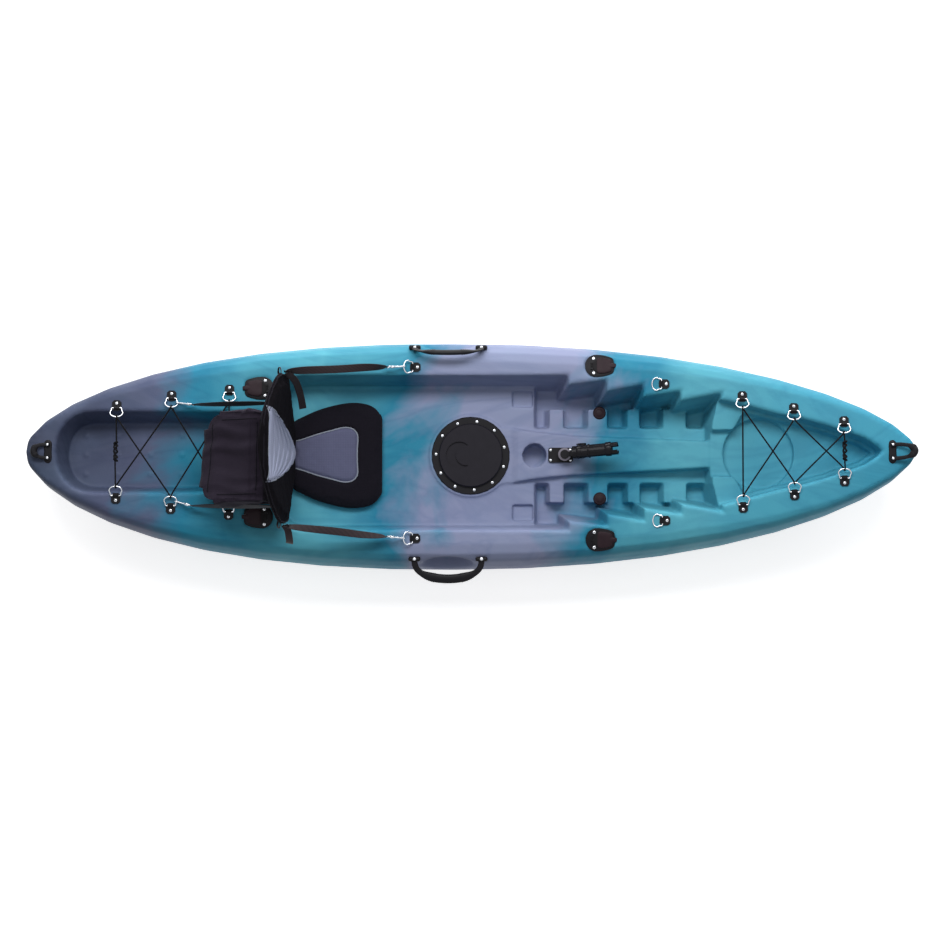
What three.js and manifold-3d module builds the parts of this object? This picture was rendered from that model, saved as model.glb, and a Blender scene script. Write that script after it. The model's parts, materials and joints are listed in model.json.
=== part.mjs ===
// A sit-on-top fishing kayak: a one-piece hollow moulded hull with its seat, hatch, rod holders,
// lacing eyes, shock cords and handles. Millimetres, +Z up, +X to the bow, +Y to port, origin under
// the middle of the hull on the surface that it stands on.
import * as THREE from "three";
import { mergeVertices } from "three/addons/utils/BufferGeometryUtils.js";
import Module from "manifold-3d";

const wasm = await Module();
wasm.setup();

// Driving dimensions of the hull
const gap = 0.3; // what touching pieces keep between them
const overrun = 40; // how far a cutter runs past the skin that it opens
const hull = {
  length: 2950,
  beam: 766,
  wall: 5,
  widestShare: -0.0407, // the widest section lies a little aft of the middle
  deckZ: 280,
  bowDeckZ: 345,
  sternDeckZ: 318,
  crown: 8, // rise of the deck from its edge to the centre line
  bowRockerShare: 0.3525, // from here the keel rises to the stem
  sternRockerShare: 0.4203,
  bowStemZ: 225,
  sternStemZ: 190,
  stationsPerEnd: 10,
  endShare: 0.9995, // how near the ends the last stations come
  hollowFromWalls: 6, // the hollow ends where the half beam is this many walls
  sternCut: 9, // what is cut flat off the stern for the drain plug
};
const half = (length) => length / 2;
const forward = (share) => share * half(hull.length); // a station, as a share of the way to the bow
const toPort = (share) => share * half(hull.beam);
const onDeck = (shares) => shares.map(([x, y]) => [forward(x), toPort(y)]);

// Adds to a set of sizes the places that its shares give: names in X or length count along the half
// length towards the bow, and names in Y, width or radius along the half beam to port.
function addPlaces(sizes) {
  for (const [name, share] of Object.entries(sizes)) {
    if (/(x|length)Share$/i.test(name)) sizes[name.replace("Share", "")] = forward(share);
    if (/(y|width|radius)Share$/i.test(name)) sizes[name.replace("Share", "")] = toPort(share);
  }
}

const widestX = forward(hull.widestShare);
const sternFlatX = hull.sternCut - half(hull.length);

// The plan is half the beam times (1 - u ** fullness) ** taper, with u from the widest section.
const sternPlanShare = { fullness: 2.35, taper: 0.56 };
const bowPlanShare = { fullness: 2.1, taper: 0.6 };

// Half a section from the keel to the widest point, as shares of the half beam and of the height
// there: amidships a keel, a tunnel and a side runner, and at the ends a plain V.
const midBottomShares = [
  [0, 0], [0.09, 0], [0.17, 0.13], [0.36, 0.15], [0.45, 0], [0.6, 0], [0.82, 0.2], [0.95, 0.6], [1, 1],
];
const endBottomShares = [
  [0, 0], [0.1, 0.02], [0.2, 0.08], [0.36, 0.2], [0.48, 0.32], [0.62, 0.46], [0.8, 0.66], [0.93, 0.85],
  [1, 1],
];
// From the widest point up the side and over the shoulder to the middle of the deck.
const flatDeckShare = 0.8; // where the deck's flat part ends
const topShares = [[0.98, 0.45], [0.94, 0.8], [0.88, 0.95], [flatDeckShare, 1], [0.4, 1], [0, 1]];
const widestHeightShare = 0.46; // of the height from keel to deck
const endSectionShares = { from: 0.55, to: 0.95 }; // of half the length, where the V takes over

// Wells: outlines where the walls reach the deck, floors, and how far walls lean in with depth
const lip = 8; // chamfer round the top of each well
const tankWell = {
  aftXShare: -0.9288,
  frontXShare: -0.4746,
  halfWidthShare: 0.3499,
  noseLengthShare: 0.0881,
  floorZ: 190,
  leanShare: 0.28,
};
const tankNosePower = 2.5; // exponent of the rounded aft end
const tankNoseShares = [0, 0.04, 0.12, 0.25, 0.45, 0.7, 1]; // where its points lie
const tankBump = {
  radius: 10, height: 4, columnShares: [-0.8719, -0.8, -0.7254, -0.6542], rowYShare: 0.1697, topShare: 0.6,
};
const cockpit = {
  aftXShare: -0.4373,
  frontXShare: 0.2217,
  halfWidthShare: 0.6736,
  cornerRadiusShare: 0.235,
  floorZ: 165,
  leanShare: 0.2,
};
const footwell = {
  aftXShare: 0.1458,
  innerYShare: 0.2376,
  floorZ: 115,
  // Each foot brace: where its wall starts and ends, and its half widths there
  braceShares: [
    [0.2217, 0.3078, 0.5927, 0.6345],
    [0.3078, 0.3905, 0.5326, 0.5927],
    [0.3905, 0.4739, 0.483, 0.5352],
    [0.4739, 0.5668, 0.4465, 0.5144],
  ],
  frontXShare: 0.5505,
  frontYShare: 0.248,
  // The steps left between the heel pockets: where each starts and ends
  heelStepShares: [[0.1817, 0.2129], [0.2698, 0.3125], [0.3593, 0.3864], [0.4407, 0.4922]],
  stepOuterYShare: 0.4099,
  heelSlope: 18, // run of the sloped face that a heel rests on
  stepLean: 3,
};
const braceWalls = footwell.braceShares.flatMap(([fromX, toX, fromY, toY]) => (
  [[forward(fromX), toPort(fromY)], [forward(toX), toPort(toY)]]
)).reverse();
const sideNotch = { fromXShare: 0.0963, toXShare: 0.1437, innerYShare: 0.4282, depth: 14 };
const spine = {
  // The raised spine between the feet, with the flat that carries the cup and the swivel
  sections: [
    { xShare: 0.0271, halfWidthShare: 0.2611, topZ: 172 },
    { xShare: 0.0922, halfWidthShare: 0.248, topZ: 172.5 },
    { xShare: 0.1098, halfWidthShare: 0.2324, topZ: 184 },
    { xShare: 0.1478, halfWidthShare: 0.2089, topZ: 188, flat: true },
    { xShare: 0.2373, halfWidthShare: 0.1723, topZ: 188 },
    { xShare: 0.3797, halfWidthShare: 0.1488, topZ: 203 },
    { xShare: 0.4339, halfWidthShare: 0.1384, topZ: 212 },
    { xShare: 0.5424, halfWidthShare: 0.1175, topZ: 230 },
  ],
  edge: 5,
  rootZ: 150,
};
const spineFlatZ = spine.sections.find((section) => section.flat).topZ;
const hatchBoss = { xShare: 0.0014, radius: 139, topZ: 173 };
const hatch = { holeRadius: 100 };
const cup = { xShare: 0.1464, radius: 40, depth: 70 };
const bowShelf = {
  floorZ: 260,
  leanShare: 0.25,
  planShares: [
    [0.9207, 0], [0.9119, 0.0392], [0.8827, 0.1149], [0.8, 0.2245], [0.7369, 0.2924],
    [0.6902, 0.329], [0.6115, 0.4125], [0.5424, 0.4752],
  ],
};
const bowWell = {
  floorZ: 234,
  leanShare: 0.3,
  planShares: [
    [0.9153, 0], [0.9071, 0.0313], [0.88, 0.0992], [0.7986, 0.2089], [0.7356, 0.2768],
    [0.6888, 0.3133], [0.6136, 0.3864], [0.5912, 0.2298], [0.5288, 0.2219],
  ],
};
const bowDisc = { xShare: 0.6515, radius: 118, floorZ: 212 };
const handleRecess = {
  xShare: -0.0502, yShare: 1, halfLength: 96, halfDepth: 62, z: 222, halfHeight: 52,
};
const scupper = { xShare: 0.2949, yShare: 0.3773, radius: 16 };
const drain = { z: 238, radius: 9.6 };

const placedParts = [tankWell, tankBump, cockpit, footwell, sideNotch, hatchBoss, cup, bowDisc, scupper];
[...placedParts, ...spine.sections, handleRecess].forEach(addPlaces);

// Shared arithmetic
const clamp01 = (t) => Math.min(1, Math.max(0, t));
const smooth = (t) => clamp01(t) ** 2 * (3 - 2 * clamp01(t));
const mix = (a, b, t) => a + (b - a) * t;

function halfBeam(x) {
  const aft = x < widestX;
  const reach = half(hull.length) + (aft ? widestX : -widestX);
  const { fullness, taper } = aft ? sternPlanShare : bowPlanShare;
  const u = Math.min(1, Math.abs(x - widestX) / reach);
  return half(hull.beam) * (1 - u ** fullness) ** taper;
}

function keelZ(x) {
  const start = forward(x > 0 ? hull.bowRockerShare : hull.sternRockerShare);
  const stem = x > 0 ? hull.bowStemZ : hull.sternStemZ;
  const v = clamp01((Math.abs(x) - start) / (half(hull.length) - start));
  return stem * (1 - Math.sqrt(1 - v ** 3));
}

function deckEdgeZ(x) {
  const endZ = x > 0 ? hull.bowDeckZ : hull.sternDeckZ;
  return mix(hull.deckZ, endZ, (Math.abs(x) / half(hull.length)) ** 2);
}

// One closed ring of the hull at station x, taken in by inset all round.
function hullRing(x, inset = 0) {
  const b = halfBeam(x);
  const keel = keelZ(x);
  const deck = deckEdgeZ(x);
  const widest = mix(keel, deck, widestHeightShare);
  const along = Math.abs(x) / half(hull.length);
  const toV = smooth((along - endSectionShares.from) / (endSectionShares.to - endSectionShares.from));
  const right = midBottomShares.map(([y, z], i) => {
    const [endY, endZ] = endBottomShares[i];
    return [b * mix(y, endY, toV), mix(keel, widest, mix(z, endZ, toV))];
  });
  for (const [y, z] of topShares) {
    right.push([b * y, mix(widest, deck, z) + (z === 1 ? hull.crown * (1 - y) : 0)]);
  }
  const ring = [...right, ...right.slice(1, -1).reverse().map(([y, z]) => [-y, z])];
  return insetOutline(ring, inset).map(([y, z]) => [x, y, z]);
}

const stations = (() => {
  const n = hull.stationsPerEnd;
  const list = [];
  for (let i = -n; i <= n; i += 1) {
    const u = Math.sin((Math.abs(i) / n) * half(Math.PI)) * hull.endShare;
    list.push(mix(widestX, Math.sign(i) * half(hull.length), u));
  }
  return list;
})();

// Height of the deck's facets over a point of its flat part.
function deckTopZ(x, y) {
  const after = Math.max(1, stations.findIndex((s) => s >= x));
  const [x0, x1] = [stations[after - 1], stations[after]];
  const rise = (s) => deckEdgeZ(s) + hull.crown * (1 - Math.abs(y) / Math.max(halfBeam(s), Math.abs(y) + 1));
  return mix(rise(x0), rise(x1), (x - x0) / (x1 - x0));
}

// Moves each side of an anticlockwise outline inwards by distance.
function insetOutline(points, distance) {
  const n = points.length;
  return points.map((p, i) => {
    const a = points[(i + n - 1) % n];
    const c = points[(i + 1) % n];
    const before = new THREE.Vector2(p[0] - a[0], p[1] - a[1]).normalize();
    const after = new THREE.Vector2(c[0] - p[0], c[1] - p[1]).normalize();
    const k = distance / Math.max(0.5, 1 + before.dot(after));
    return [p[0] - (before.y + after.y) * k, p[1] + (before.x + after.x) * k];
  });
}

// Completes a plan given from the bow aft on the port side with its starboard half.
function mirrored(plan) {
  const other = plan.filter(([, y]) => y > 0).reverse().map(([x, y]) => [x, -y]);
  return [...plan, ...other];
}

// A closed body through rings of as many points each; its ends are triangulated outlines.
function loft(rings, endPlane = [0, 1]) {
  const n = rings[0].length;
  const position = rings.flat(2);
  const index = [];
  for (let r = 0; r < rings.length - 1; r += 1) {
    for (let i = 0; i < n; i += 1) {
      const j = (i + 1) % n;
      const [a, b, c, d] = [r * n + i, r * n + j, (r + 1) * n + j, (r + 1) * n + i];
      index.push(a, b, c, a, c, d);
    }
  }
  const last = (rings.length - 1) * n;
  for (const [ring, first, facing] of [[rings[0], 0, false], [rings[rings.length - 1], last, true]]) {
    const outline = ring.map((p) => new THREE.Vector2(p[endPlane[0]], p[endPlane[1]]));
    const keep = THREE.ShapeUtils.isClockWise(outline) !== facing;
    for (const [a, b, c] of THREE.ShapeUtils.triangulateShape(outline, [])) {
      index.push(...(keep ? [first + a, first + b, first + c] : [first + c, first + b, first + a]));
    }
  }
  const geometry = new THREE.BufferGeometry();
  geometry.setAttribute("position", new THREE.Float32BufferAttribute(position, 3));
  geometry.setIndex(index);
  return geometry;
}

// Solids and booleans
function toSolid(geometry) {
  const bare = geometry.index ? geometry.toNonIndexed() : geometry.clone();
  bare.deleteAttribute("normal");
  bare.deleteAttribute("uv");
  const merged = mergeVertices(bare, 1e-3);
  const vertProperties = merged.attributes.position.array;
  const triVerts = new Uint32Array(merged.index.array);
  const made = new wasm.Manifold(new wasm.Mesh({ numProp: 3, vertProperties, triVerts }));
  if (made.volume() >= 0) return made;
  const turned = triVerts.map((v, i) => triVerts[i + [0, 1, -1][i % 3]]);
  return new wasm.Manifold(new wasm.Mesh({ numProp: 3, vertProperties, triVerts: turned }));
}

function toGeometry(solid) {
  const made = solid.getMesh();
  const geometry = new THREE.BufferGeometry();
  geometry.setAttribute("position", new THREE.BufferAttribute(made.vertProperties, 3));
  geometry.setIndex(new THREE.BufferAttribute(made.triVerts, 1));
  const faceted = geometry.toNonIndexed();
  faceted.computeVertexNormals();
  return faceted;
}

const join = (solids) => solids.reduce((sum, s) => sum.add(s));

// How many flats stand for each kind of round, and how many steps for each kind of curve
const sidesOf = {
  wire: 5, screw: 6, bump: 8, cord: 8, barrel: 12, ball: 14, hole: 16, tube: 20,
  disc: 28, hatch: 30, boss: 36,
};
const stepsOf = { corner: 5, crescent: 12, cap: 6, arch: 12, ring: 7, foreArc: 3, aftArc: 9, turn: 4 };

// An upright cylinder or cone between two heights.
function upright(radius, fromZ, toZ, x, y, sides, topRadius = radius) {
  const made = new THREE.CylinderGeometry(topRadius, radius, toZ - fromZ, sides);
  return made.rotateX(half(Math.PI)).translate(x, y, half(fromZ + toZ));
}

// A plan raised from one height to another.
function slab(plan, fromZ, toZ) {
  return loft([plan.map(([x, y]) => [x, y, fromZ]), plan.map(([x, y]) => [x, y, toZ])]);
}

// A profile in X and Z, anticlockwise seen from starboard, spread between two Y.
function sideProfile(profile, fromY, toY) {
  return loft([profile.map(([x, z]) => [x, toY, z]), profile.map(([x, z]) => [x, fromY, z])], [0, 2]);
}

// The space of a well: its walls lean in with depth and its lip is chamfered. Grown by the wall,
// it is the outside of the skin round the well.
function wellSpace(plan, { floorZ, leanShare }, grow) {
  const lean = leanShare * (hull.deckZ - floorZ);
  const ring = (outset, heightAt) => insetOutline(plan, -outset).map(([x, y]) => [x, y, heightAt(x, y)]);
  return toSolid(loft([
    ring(grow - lean, () => floorZ - grow),
    ring(grow, (x, y) => deckTopZ(x, y) - lip - grow),
    ring(grow + lip, (x, y) => deckTopZ(x, y) - grow),
    ring(grow + lip, (x, y) => deckTopZ(x, y) + overrun),
  ]));
}

function tankPlan() {
  const { aftX, frontX, halfWidth, noseLength } = tankWell;
  const port = tankNoseShares.map((u) => [
    aftX + noseLength * u,
    halfWidth * Math.sqrt(1 - (1 - u) ** tankNosePower),
  ]);
  return mirrored([[frontX, 0], [frontX, halfWidth], ...port.reverse()]);
}

function cockpitPlan() {
  const { aftX, halfWidth, cornerRadius } = cockpit;
  const plan = [[footwell.frontX, 0], [footwell.frontX, footwell.frontY], ...braceWalls];
  plan.push([cockpit.frontX, halfWidth]);
  for (let i = 0; i <= stepsOf.corner; i += 1) {
    const a = half(Math.PI) * (i / stepsOf.corner);
    plan.push([
      aftX + cornerRadius * (1 - Math.sin(a)),
      halfWidth - cornerRadius * (1 - Math.cos(a)),
    ]);
  }
  plan.push([aftX, 0]);
  return mirrored(plan);
}

// The deep part of one footwell, with the heel steps left standing in it.
function footwellSpace(side, grow) {
  const lean = cockpit.leanShare * (hull.deckZ - cockpit.floorZ);
  const innerY = footwell.innerY - lean;
  const plan = [[footwell.frontX, innerY], [footwell.frontX, footwell.frontY], ...braceWalls];
  const aftX = footwell.aftX - lean;
  plan.push([cockpit.frontX, cockpit.halfWidth], [aftX, cockpit.halfWidth], [aftX, innerY]);
  const outline = side > 0 ? plan : plan.map(([x, y]) => [x, -y]).reverse();
  const at = (z) => cockpit.leanShare * (hull.deckZ - z);
  const topZ = cockpit.floorZ + lip;
  const ring = (z, level) => insetOutline(outline, at(level) - grow).map(([x, y]) => [x, y, z]);
  const deep = toSolid(loft([ring(footwell.floorZ - grow, footwell.floorZ), ring(topZ, topZ)]));
  const steps = footwell.heelStepShares.map((shares) => {
    const [fromX, toX] = shares.map(forward);
    const profile = insetOutline([
      [fromX - footwell.heelSlope, footwell.floorZ - overrun],
      [toX + footwell.stepLean, footwell.floorZ - overrun],
      [toX + footwell.stepLean, footwell.floorZ],
      [toX, cockpit.floorZ],
      [fromX, cockpit.floorZ],
      [fromX - footwell.heelSlope, footwell.floorZ],
    ], grow);
    const [near, far] = [footwell.innerY - overrun, footwell.stepOuterY - grow];
    return toSolid(side > 0 ? sideProfile(profile, near, far) : sideProfile(profile, -far, -near));
  });
  return deep.subtract(join(steps));
}

function spineBody(shrink) {
  const rings = spine.sections.map(({ x, halfWidth, topZ }) => {
    const [w, top] = [halfWidth - shrink, topZ - shrink];
    const section = [[-w, spine.rootZ], [w, spine.rootZ], [w, top - spine.edge], [w - spine.edge, top]];
    section.push([-w + spine.edge, top], [-w, top - spine.edge]);
    return section.map(([y, z]) => [x, y, z]);
  });
  return toSolid(loft(rings, [1, 2]));
}

// Everything that is open above the skin of the hull; grown by the wall, the outside of that skin.
function openSpaces(grow) {
  let spaces = wellSpace(cockpitPlan(), cockpit, grow);
  spaces = spaces.add(footwellSpace(1, grow)).add(footwellSpace(-1, grow));
  for (const side of [1, -1]) {
    const [near, far] = [sideNotch.innerY - grow, cockpit.halfWidth - overrun + grow];
    const made = new THREE.BoxGeometry(sideNotch.toX - sideNotch.fromX + 2 * grow, far - near, overrun);
    made.translate(
      half(sideNotch.fromX + sideNotch.toX),
      side * half(near + far),
      cockpit.floorZ - sideNotch.depth - grow + half(overrun),
    );
    spaces = spaces.add(toSolid(made));
  }
  spaces = spaces.subtract(spineBody(grow));
  const boss = upright(
    hatchBoss.radius - grow, spine.rootZ, hatchBoss.topZ - grow, hatchBoss.x, 0, sidesOf.boss,
  );
  spaces = spaces.subtract(toSolid(boss));
  const cupSpace = upright(
    cup.radius + grow, spineFlatZ - cup.depth - grow, spineFlatZ + overrun, cup.x, 0, sidesOf.tube,
  );
  const discSpace = upright(
    bowDisc.radius + grow, bowDisc.floorZ - grow, bowWell.floorZ + overrun, bowDisc.x, 0, sidesOf.disc,
  );
  spaces = spaces.add(toSolid(cupSpace));
  spaces = spaces.add(wellSpace(mirrored(onDeck(bowShelf.planShares)), bowShelf, grow));
  spaces = spaces.add(wellSpace(mirrored(onDeck(bowWell.planShares)), bowWell, grow).add(toSolid(discSpace)));
  spaces = spaces.add(wellSpace(tankPlan(), tankWell, grow));
  for (const side of [1, -1]) {
    const drop = upright(
      scupper.radius + grow, -overrun, cockpit.floorZ + overrun, scupper.x, side * scupper.y, sidesOf.hole,
    );
    const { halfLength, halfDepth, halfHeight } = handleRecess;
    const recess = new THREE.SphereGeometry(1, sidesOf.ball, half(sidesOf.ball));
    recess.scale(halfLength + grow, halfDepth + grow, halfHeight + grow);
    recess.translate(handleRecess.x, side * handleRecess.y, handleRecess.z);
    spaces = spaces.add(toSolid(drop)).add(toSolid(recess));
  }
  for (const place of holders) {
    const recess = slab(holderPlan(holder.clearance + grow), -grow, overrun);
    spaces = spaces.add(toSolid(recess.applyMatrix4(holderMatrix(place, 0))));
  }
  return spaces;
}

const outerForm = loft(stations.map((x) => hullRing(x)), [1, 2]);
const outerMesh = new THREE.Mesh(outerForm, new THREE.MeshBasicMaterial({ side: THREE.DoubleSide }));

// Height of the outer facets straight under a point.
function deckFacetZ(x, y) {
  const from = new THREE.Vector3(x, y, hull.bowDeckZ + overrun);
  return new THREE.Raycaster(from, new THREE.Vector3(0, 0, -1)).intersectObject(outerMesh)[0].point.z;
}

function makeHull() {
  const outer = toSolid(outerForm);
  const wide = stations.filter((x) => halfBeam(x) > hull.hollowFromWalls * hull.wall);
  const inner = toSolid(loft(wide.map((x) => hullRing(x, hull.wall)), [1, 2]));
  const skin = outer.subtract(openSpaces(0)).subtract(inner.subtract(openSpaces(hull.wall)));
  const sternCut = new THREE.BoxGeometry(overrun, hull.beam, 2 * hull.sternDeckZ);
  sternCut.translate(sternFlatX - half(overrun), 0, hull.sternDeckZ);
  const drainHole = upright(drain.radius, -overrun, overrun, 0, 0, sidesOf.hole);
  drainHole.rotateY(half(Math.PI)).translate(sternFlatX, 0, drain.z);
  const hatchHole = upright(
    hatch.holeRadius, spine.rootZ, hatchBoss.topZ + overrun, hatchBoss.x, 0, sidesOf.hatch,
  );
  const tubeHoles = holders.map((place) => (
    upright(holder.tubeRadius + holder.clearance, -holder.straight, overrun, 0, 0, sidesOf.hole)
      .applyMatrix4(holderMatrix(place, 0))
  ));
  const rows = [-tankBump.rowY, 0, tankBump.rowY];
  const bumps = tankBump.columnShares.map(forward).flatMap((x) => rows.map((y) => upright(
    tankBump.radius, tankWell.floorZ - half(hull.wall), tankWell.floorZ + tankBump.height, x, y, sidesOf.bump,
    tankBump.topShare * tankBump.radius,
  )));
  const cuts = [sternCut, drainHole, hatchHole, ...tubeHoles];
  return skin.subtract(join(cuts.map(toSolid))).add(join(bumps.map(toSolid)));
}

// Fittings
const colours = {
  hull: { color: 0x4d93ad, roughness: 0.38, metalness: 0 },
  black: { color: 0x18181b, roughness: 0.45, metalness: 0 },
  rubber: { color: 0x151517, roughness: 0.8, metalness: 0 },
  steel: { color: 0xb9bcc2, roughness: 0.25, metalness: 1 },
  fabric: { color: 0x1e1d26, roughness: 0.95, metalness: 0 },
  greyFabric: { color: 0x55586c, roughness: 0.9, metalness: 0 },
  cord: { color: 0x121214, roughness: 0.9, metalness: 0 },
};

const kayak = new THREE.Group();

function part(name, solid, colour, parent = kayak) {
  const mesh = new THREE.Mesh(toGeometry(solid), new THREE.MeshStandardMaterial(colours[colour]));
  mesh.name = name;
  parent.add(mesh);
  return mesh;
}

// A body of revolution about Z through a closed profile of radius and height.
function turned(profile, sides) {
  const points = [...profile, profile[0]].map(([r, z]) => new THREE.Vector2(r, z));
  return toSolid(new THREE.LatheGeometry(points, sides).rotateX(half(Math.PI)));
}

// A tube through points that closes on itself, with a many-sided section of the given radius.
function closedTube(points, radius, sides, flatAxis) {
  const n = points.length;
  const rings = points.map((p, i) => {
    const along = new THREE.Vector3().subVectors(points[(i + 1) % n], points[(i + n - 1) % n]).normalize();
    const side = new THREE.Vector3().crossVectors(flatAxis, along).normalize();
    return Array.from({ length: sides }, (_, k) => {
      const a = (2 * Math.PI * k) / sides;
      const q = p.clone().addScaledVector(side, radius * Math.cos(a));
      return q.addScaledVector(flatAxis, radius * Math.sin(a)).toArray();
    });
  });
  const index = [];
  for (let r = 0; r < n; r += 1) {
    for (let i = 0; i < sides; i += 1) {
      const [j, s] = [(i + 1) % sides, (r + 1) % n];
      const [a, b, c, d] = [r * sides + i, r * sides + j, s * sides + j, s * sides + i];
      index.push(a, b, c, a, c, d);
    }
  }
  const geometry = new THREE.BufferGeometry();
  geometry.setAttribute("position", new THREE.Float32BufferAttribute(rings.flat(2), 3));
  geometry.setIndex(index);
  return toSolid(geometry);
}

function block(fromX, toX, fromY, toY, fromZ, toZ) {
  const made = new THREE.BoxGeometry(toX - fromX, toY - fromY, toZ - fromZ);
  return made.translate(half(fromX + toX), half(fromY + toY), half(fromZ + toZ));
}

// A cylinder along Y.
function across(radius, fromY, toY, x, z, sides) {
  return new THREE.CylinderGeometry(radius, radius, toY - fromY, sides).translate(x, half(fromY + toY), z);
}

// A plan with round corners.
function roundedPlan(length, width, corner, steps = 3) {
  const plan = [];
  for (const [sx, sy, from] of [[1, 1, 0], [-1, 1, 1], [-1, -1, 2], [1, -1, 3]]) {
    for (let i = 0; i <= steps; i += 1) {
      const a = half(Math.PI) * (from + i / steps);
      const [cx, cy] = [half(length) - corner, half(width) - corner];
      plan.push([sx * cx + corner * Math.cos(a), sy * cy + corner * Math.sin(a)]);
    }
  }
  return plan;
}

// Hatch: flanged ring, gasket and lid, all round one upright axis
const ringSizes = {
  flangeRadius: 131, flangeThick: 4.5, flangeEdge: 1.8, neckClearance: 0.6, bore: 92, neckDepth: 18,
  grooveInner: 96.5, grooveOuter: 103, grooveDepth: 2.5,
  screws: 11, screwCircle: 116, screwRadius: 4.6, screwDome: 3, screwHeight: 1.8, firstScrewTurn: 0.246,
};
const gasketSizes = { clearance: 0.5, stand: 1.2, edge: 1 };
const lidSizes = {
  radius: 107, skirtThick: 6, skirtDepth: 15, skirtClearance: 0.8, rim: 7, thick: 10, edge: 3,
  gripRadius: 46, gripInner: 34, gripShift: 22, gripX: -38, gripDepth: 6.5,
  gripOpenShare: 0.36, // half the gap of the crescent, in half turns
  gripOverlap: 0.2, // how far its inner arc runs on past its ends
};
const flangeZ = hatchBoss.topZ + gap;
const flangeTopZ = flangeZ + ringSizes.flangeThick;

function hatchRing() {
  const r = ringSizes;
  const neck = hatch.holeRadius - r.neckClearance;
  const bottom = hatchBoss.topZ - r.neckDepth;
  const ring = turned([
    [r.bore, bottom], [neck, bottom], [neck, flangeZ], [r.flangeRadius, flangeZ],
    [r.flangeRadius, flangeTopZ - r.flangeEdge], [r.flangeRadius - r.flangeEdge, flangeTopZ],
    [r.grooveOuter, flangeTopZ], [r.grooveOuter, flangeTopZ - r.grooveDepth],
    [r.grooveInner, flangeTopZ - r.grooveDepth], [r.grooveInner, flangeTopZ], [r.bore, flangeTopZ],
  ], sidesOf.hatch);
  const heads = Array.from({ length: r.screws }, (_, i) => {
    const a = r.firstScrewTurn + (2 * Math.PI * i) / r.screws;
    const [x, y] = [r.screwCircle * Math.cos(a), r.screwCircle * Math.sin(a)];
    const seat = flangeTopZ - half(r.flangeThick);
    const top = flangeTopZ + r.screwHeight;
    return toSolid(upright(r.screwRadius, seat, top, x, y, sidesOf.screw, r.screwDome));
  });
  return ring.add(join(heads));
}

function hatchGasket() {
  const [r, g] = [ringSizes, gasketSizes];
  const [inner, outer] = [r.grooveInner + g.clearance, r.grooveOuter - g.clearance];
  const [low, top] = [flangeTopZ - r.grooveDepth + gap, flangeTopZ + g.stand];
  const profile = [[inner, low], [outer, low], [outer, top - g.edge], [outer - g.edge, top], [inner, top]];
  return turned(profile, sidesOf.hatch);
}

function hatchLid() {
  const l = lidSizes;
  const low = flangeTopZ + gasketSizes.stand + gap;
  const skirt = ringSizes.bore - l.skirtClearance;
  const body = turned([
    [0, low], [skirt - l.skirtThick, low],
    [skirt - l.skirtThick, low - l.skirtDepth], [skirt, low - l.skirtDepth],
    [skirt, low], [l.radius, low], [l.radius, low + l.rim],
    [l.radius - l.edge, low + l.thick], [0, low + l.thick],
  ], sidesOf.hatch);
  const arc = (radius, x, from, to) => Array.from({ length: stepsOf.crescent + 1 }, (_, i) => {
    const a = mix(from, to, i / stepsOf.crescent);
    return [x + radius * Math.cos(a), radius * Math.sin(a)];
  });
  const open = l.gripOpenShare * Math.PI;
  const crescent = [
    ...arc(l.gripRadius, l.gripX, open, 2 * Math.PI - open),
    ...arc(l.gripInner, l.gripX + l.gripShift, -open - l.gripOverlap, open + l.gripOverlap - 2 * Math.PI),
  ];
  return body.subtract(toSolid(slab(crescent, low + l.thick - l.gripDepth, low + l.thick + overrun)));
}

// Flush rod holders: a plate with a closed slanting tube, and a hinged rubber cap
const holder = {
  aftRadius: 39.5, aftX: -10, foreRadius: 14, foreX: 35.5, plate: 5, recess: 5,
  tubeRadius: 23.5, bore: 19, depth: 150, straight: 14, slantShare: 0.21, floor: 4, clearance: 0.8,
  screwX: -21.5, screwY: 25, screwRadius: 5, screwHeight: 2,
  hingeX: -28, barrel: 3, lugInnerY: 8.6, lugOuterY: 13.5, lugWidth: 8,
  foreArcShare: 0.56, capArcShares: [0.25, 0.8],
  capRadius: 24, capThick: 4, capTabX: 46, capTabY: 6.5, capNeckY: 9, plug: 17.9, plugDepth: 6,
};
const frontTilt = 0.17;
const rearTilt = 0.06;
const holders = [
  { name: "front_left", xShare: 0.2932, yShare: 0.7546, tilt: -frontTilt, turn: 0 },
  { name: "front_right", xShare: 0.2932, yShare: -0.7546, tilt: frontTilt, turn: 0 },
  { name: "rear_left", xShare: -0.4756, yShare: 0.5574, tilt: -rearTilt, turn: Math.PI },
  { name: "rear_right", xShare: -0.4756, yShare: -0.5574, tilt: rearTilt, turn: Math.PI },
];
holders.forEach(addPlaces);

// Where a rod holder's plate lies: on the floor of a shallow recess in the gunwale.
function holderMatrix({ x, y, tilt, turn }, lift) {
  const inner = Math.min(Math.abs(y), flatDeckShare * halfBeam(x) - holder.aftRadius);
  const z = deckTopZ(x, inner) - (Math.abs(y) - inner) * Math.tan(Math.abs(tilt)) - holder.recess;
  const made = new THREE.Matrix4().makeTranslation(x, y, z);
  made.multiply(new THREE.Matrix4().makeRotationX(tilt)).multiply(new THREE.Matrix4().makeRotationZ(turn));
  return made.multiply(new THREE.Matrix4().makeTranslation(0, 0, lift));
}

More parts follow.
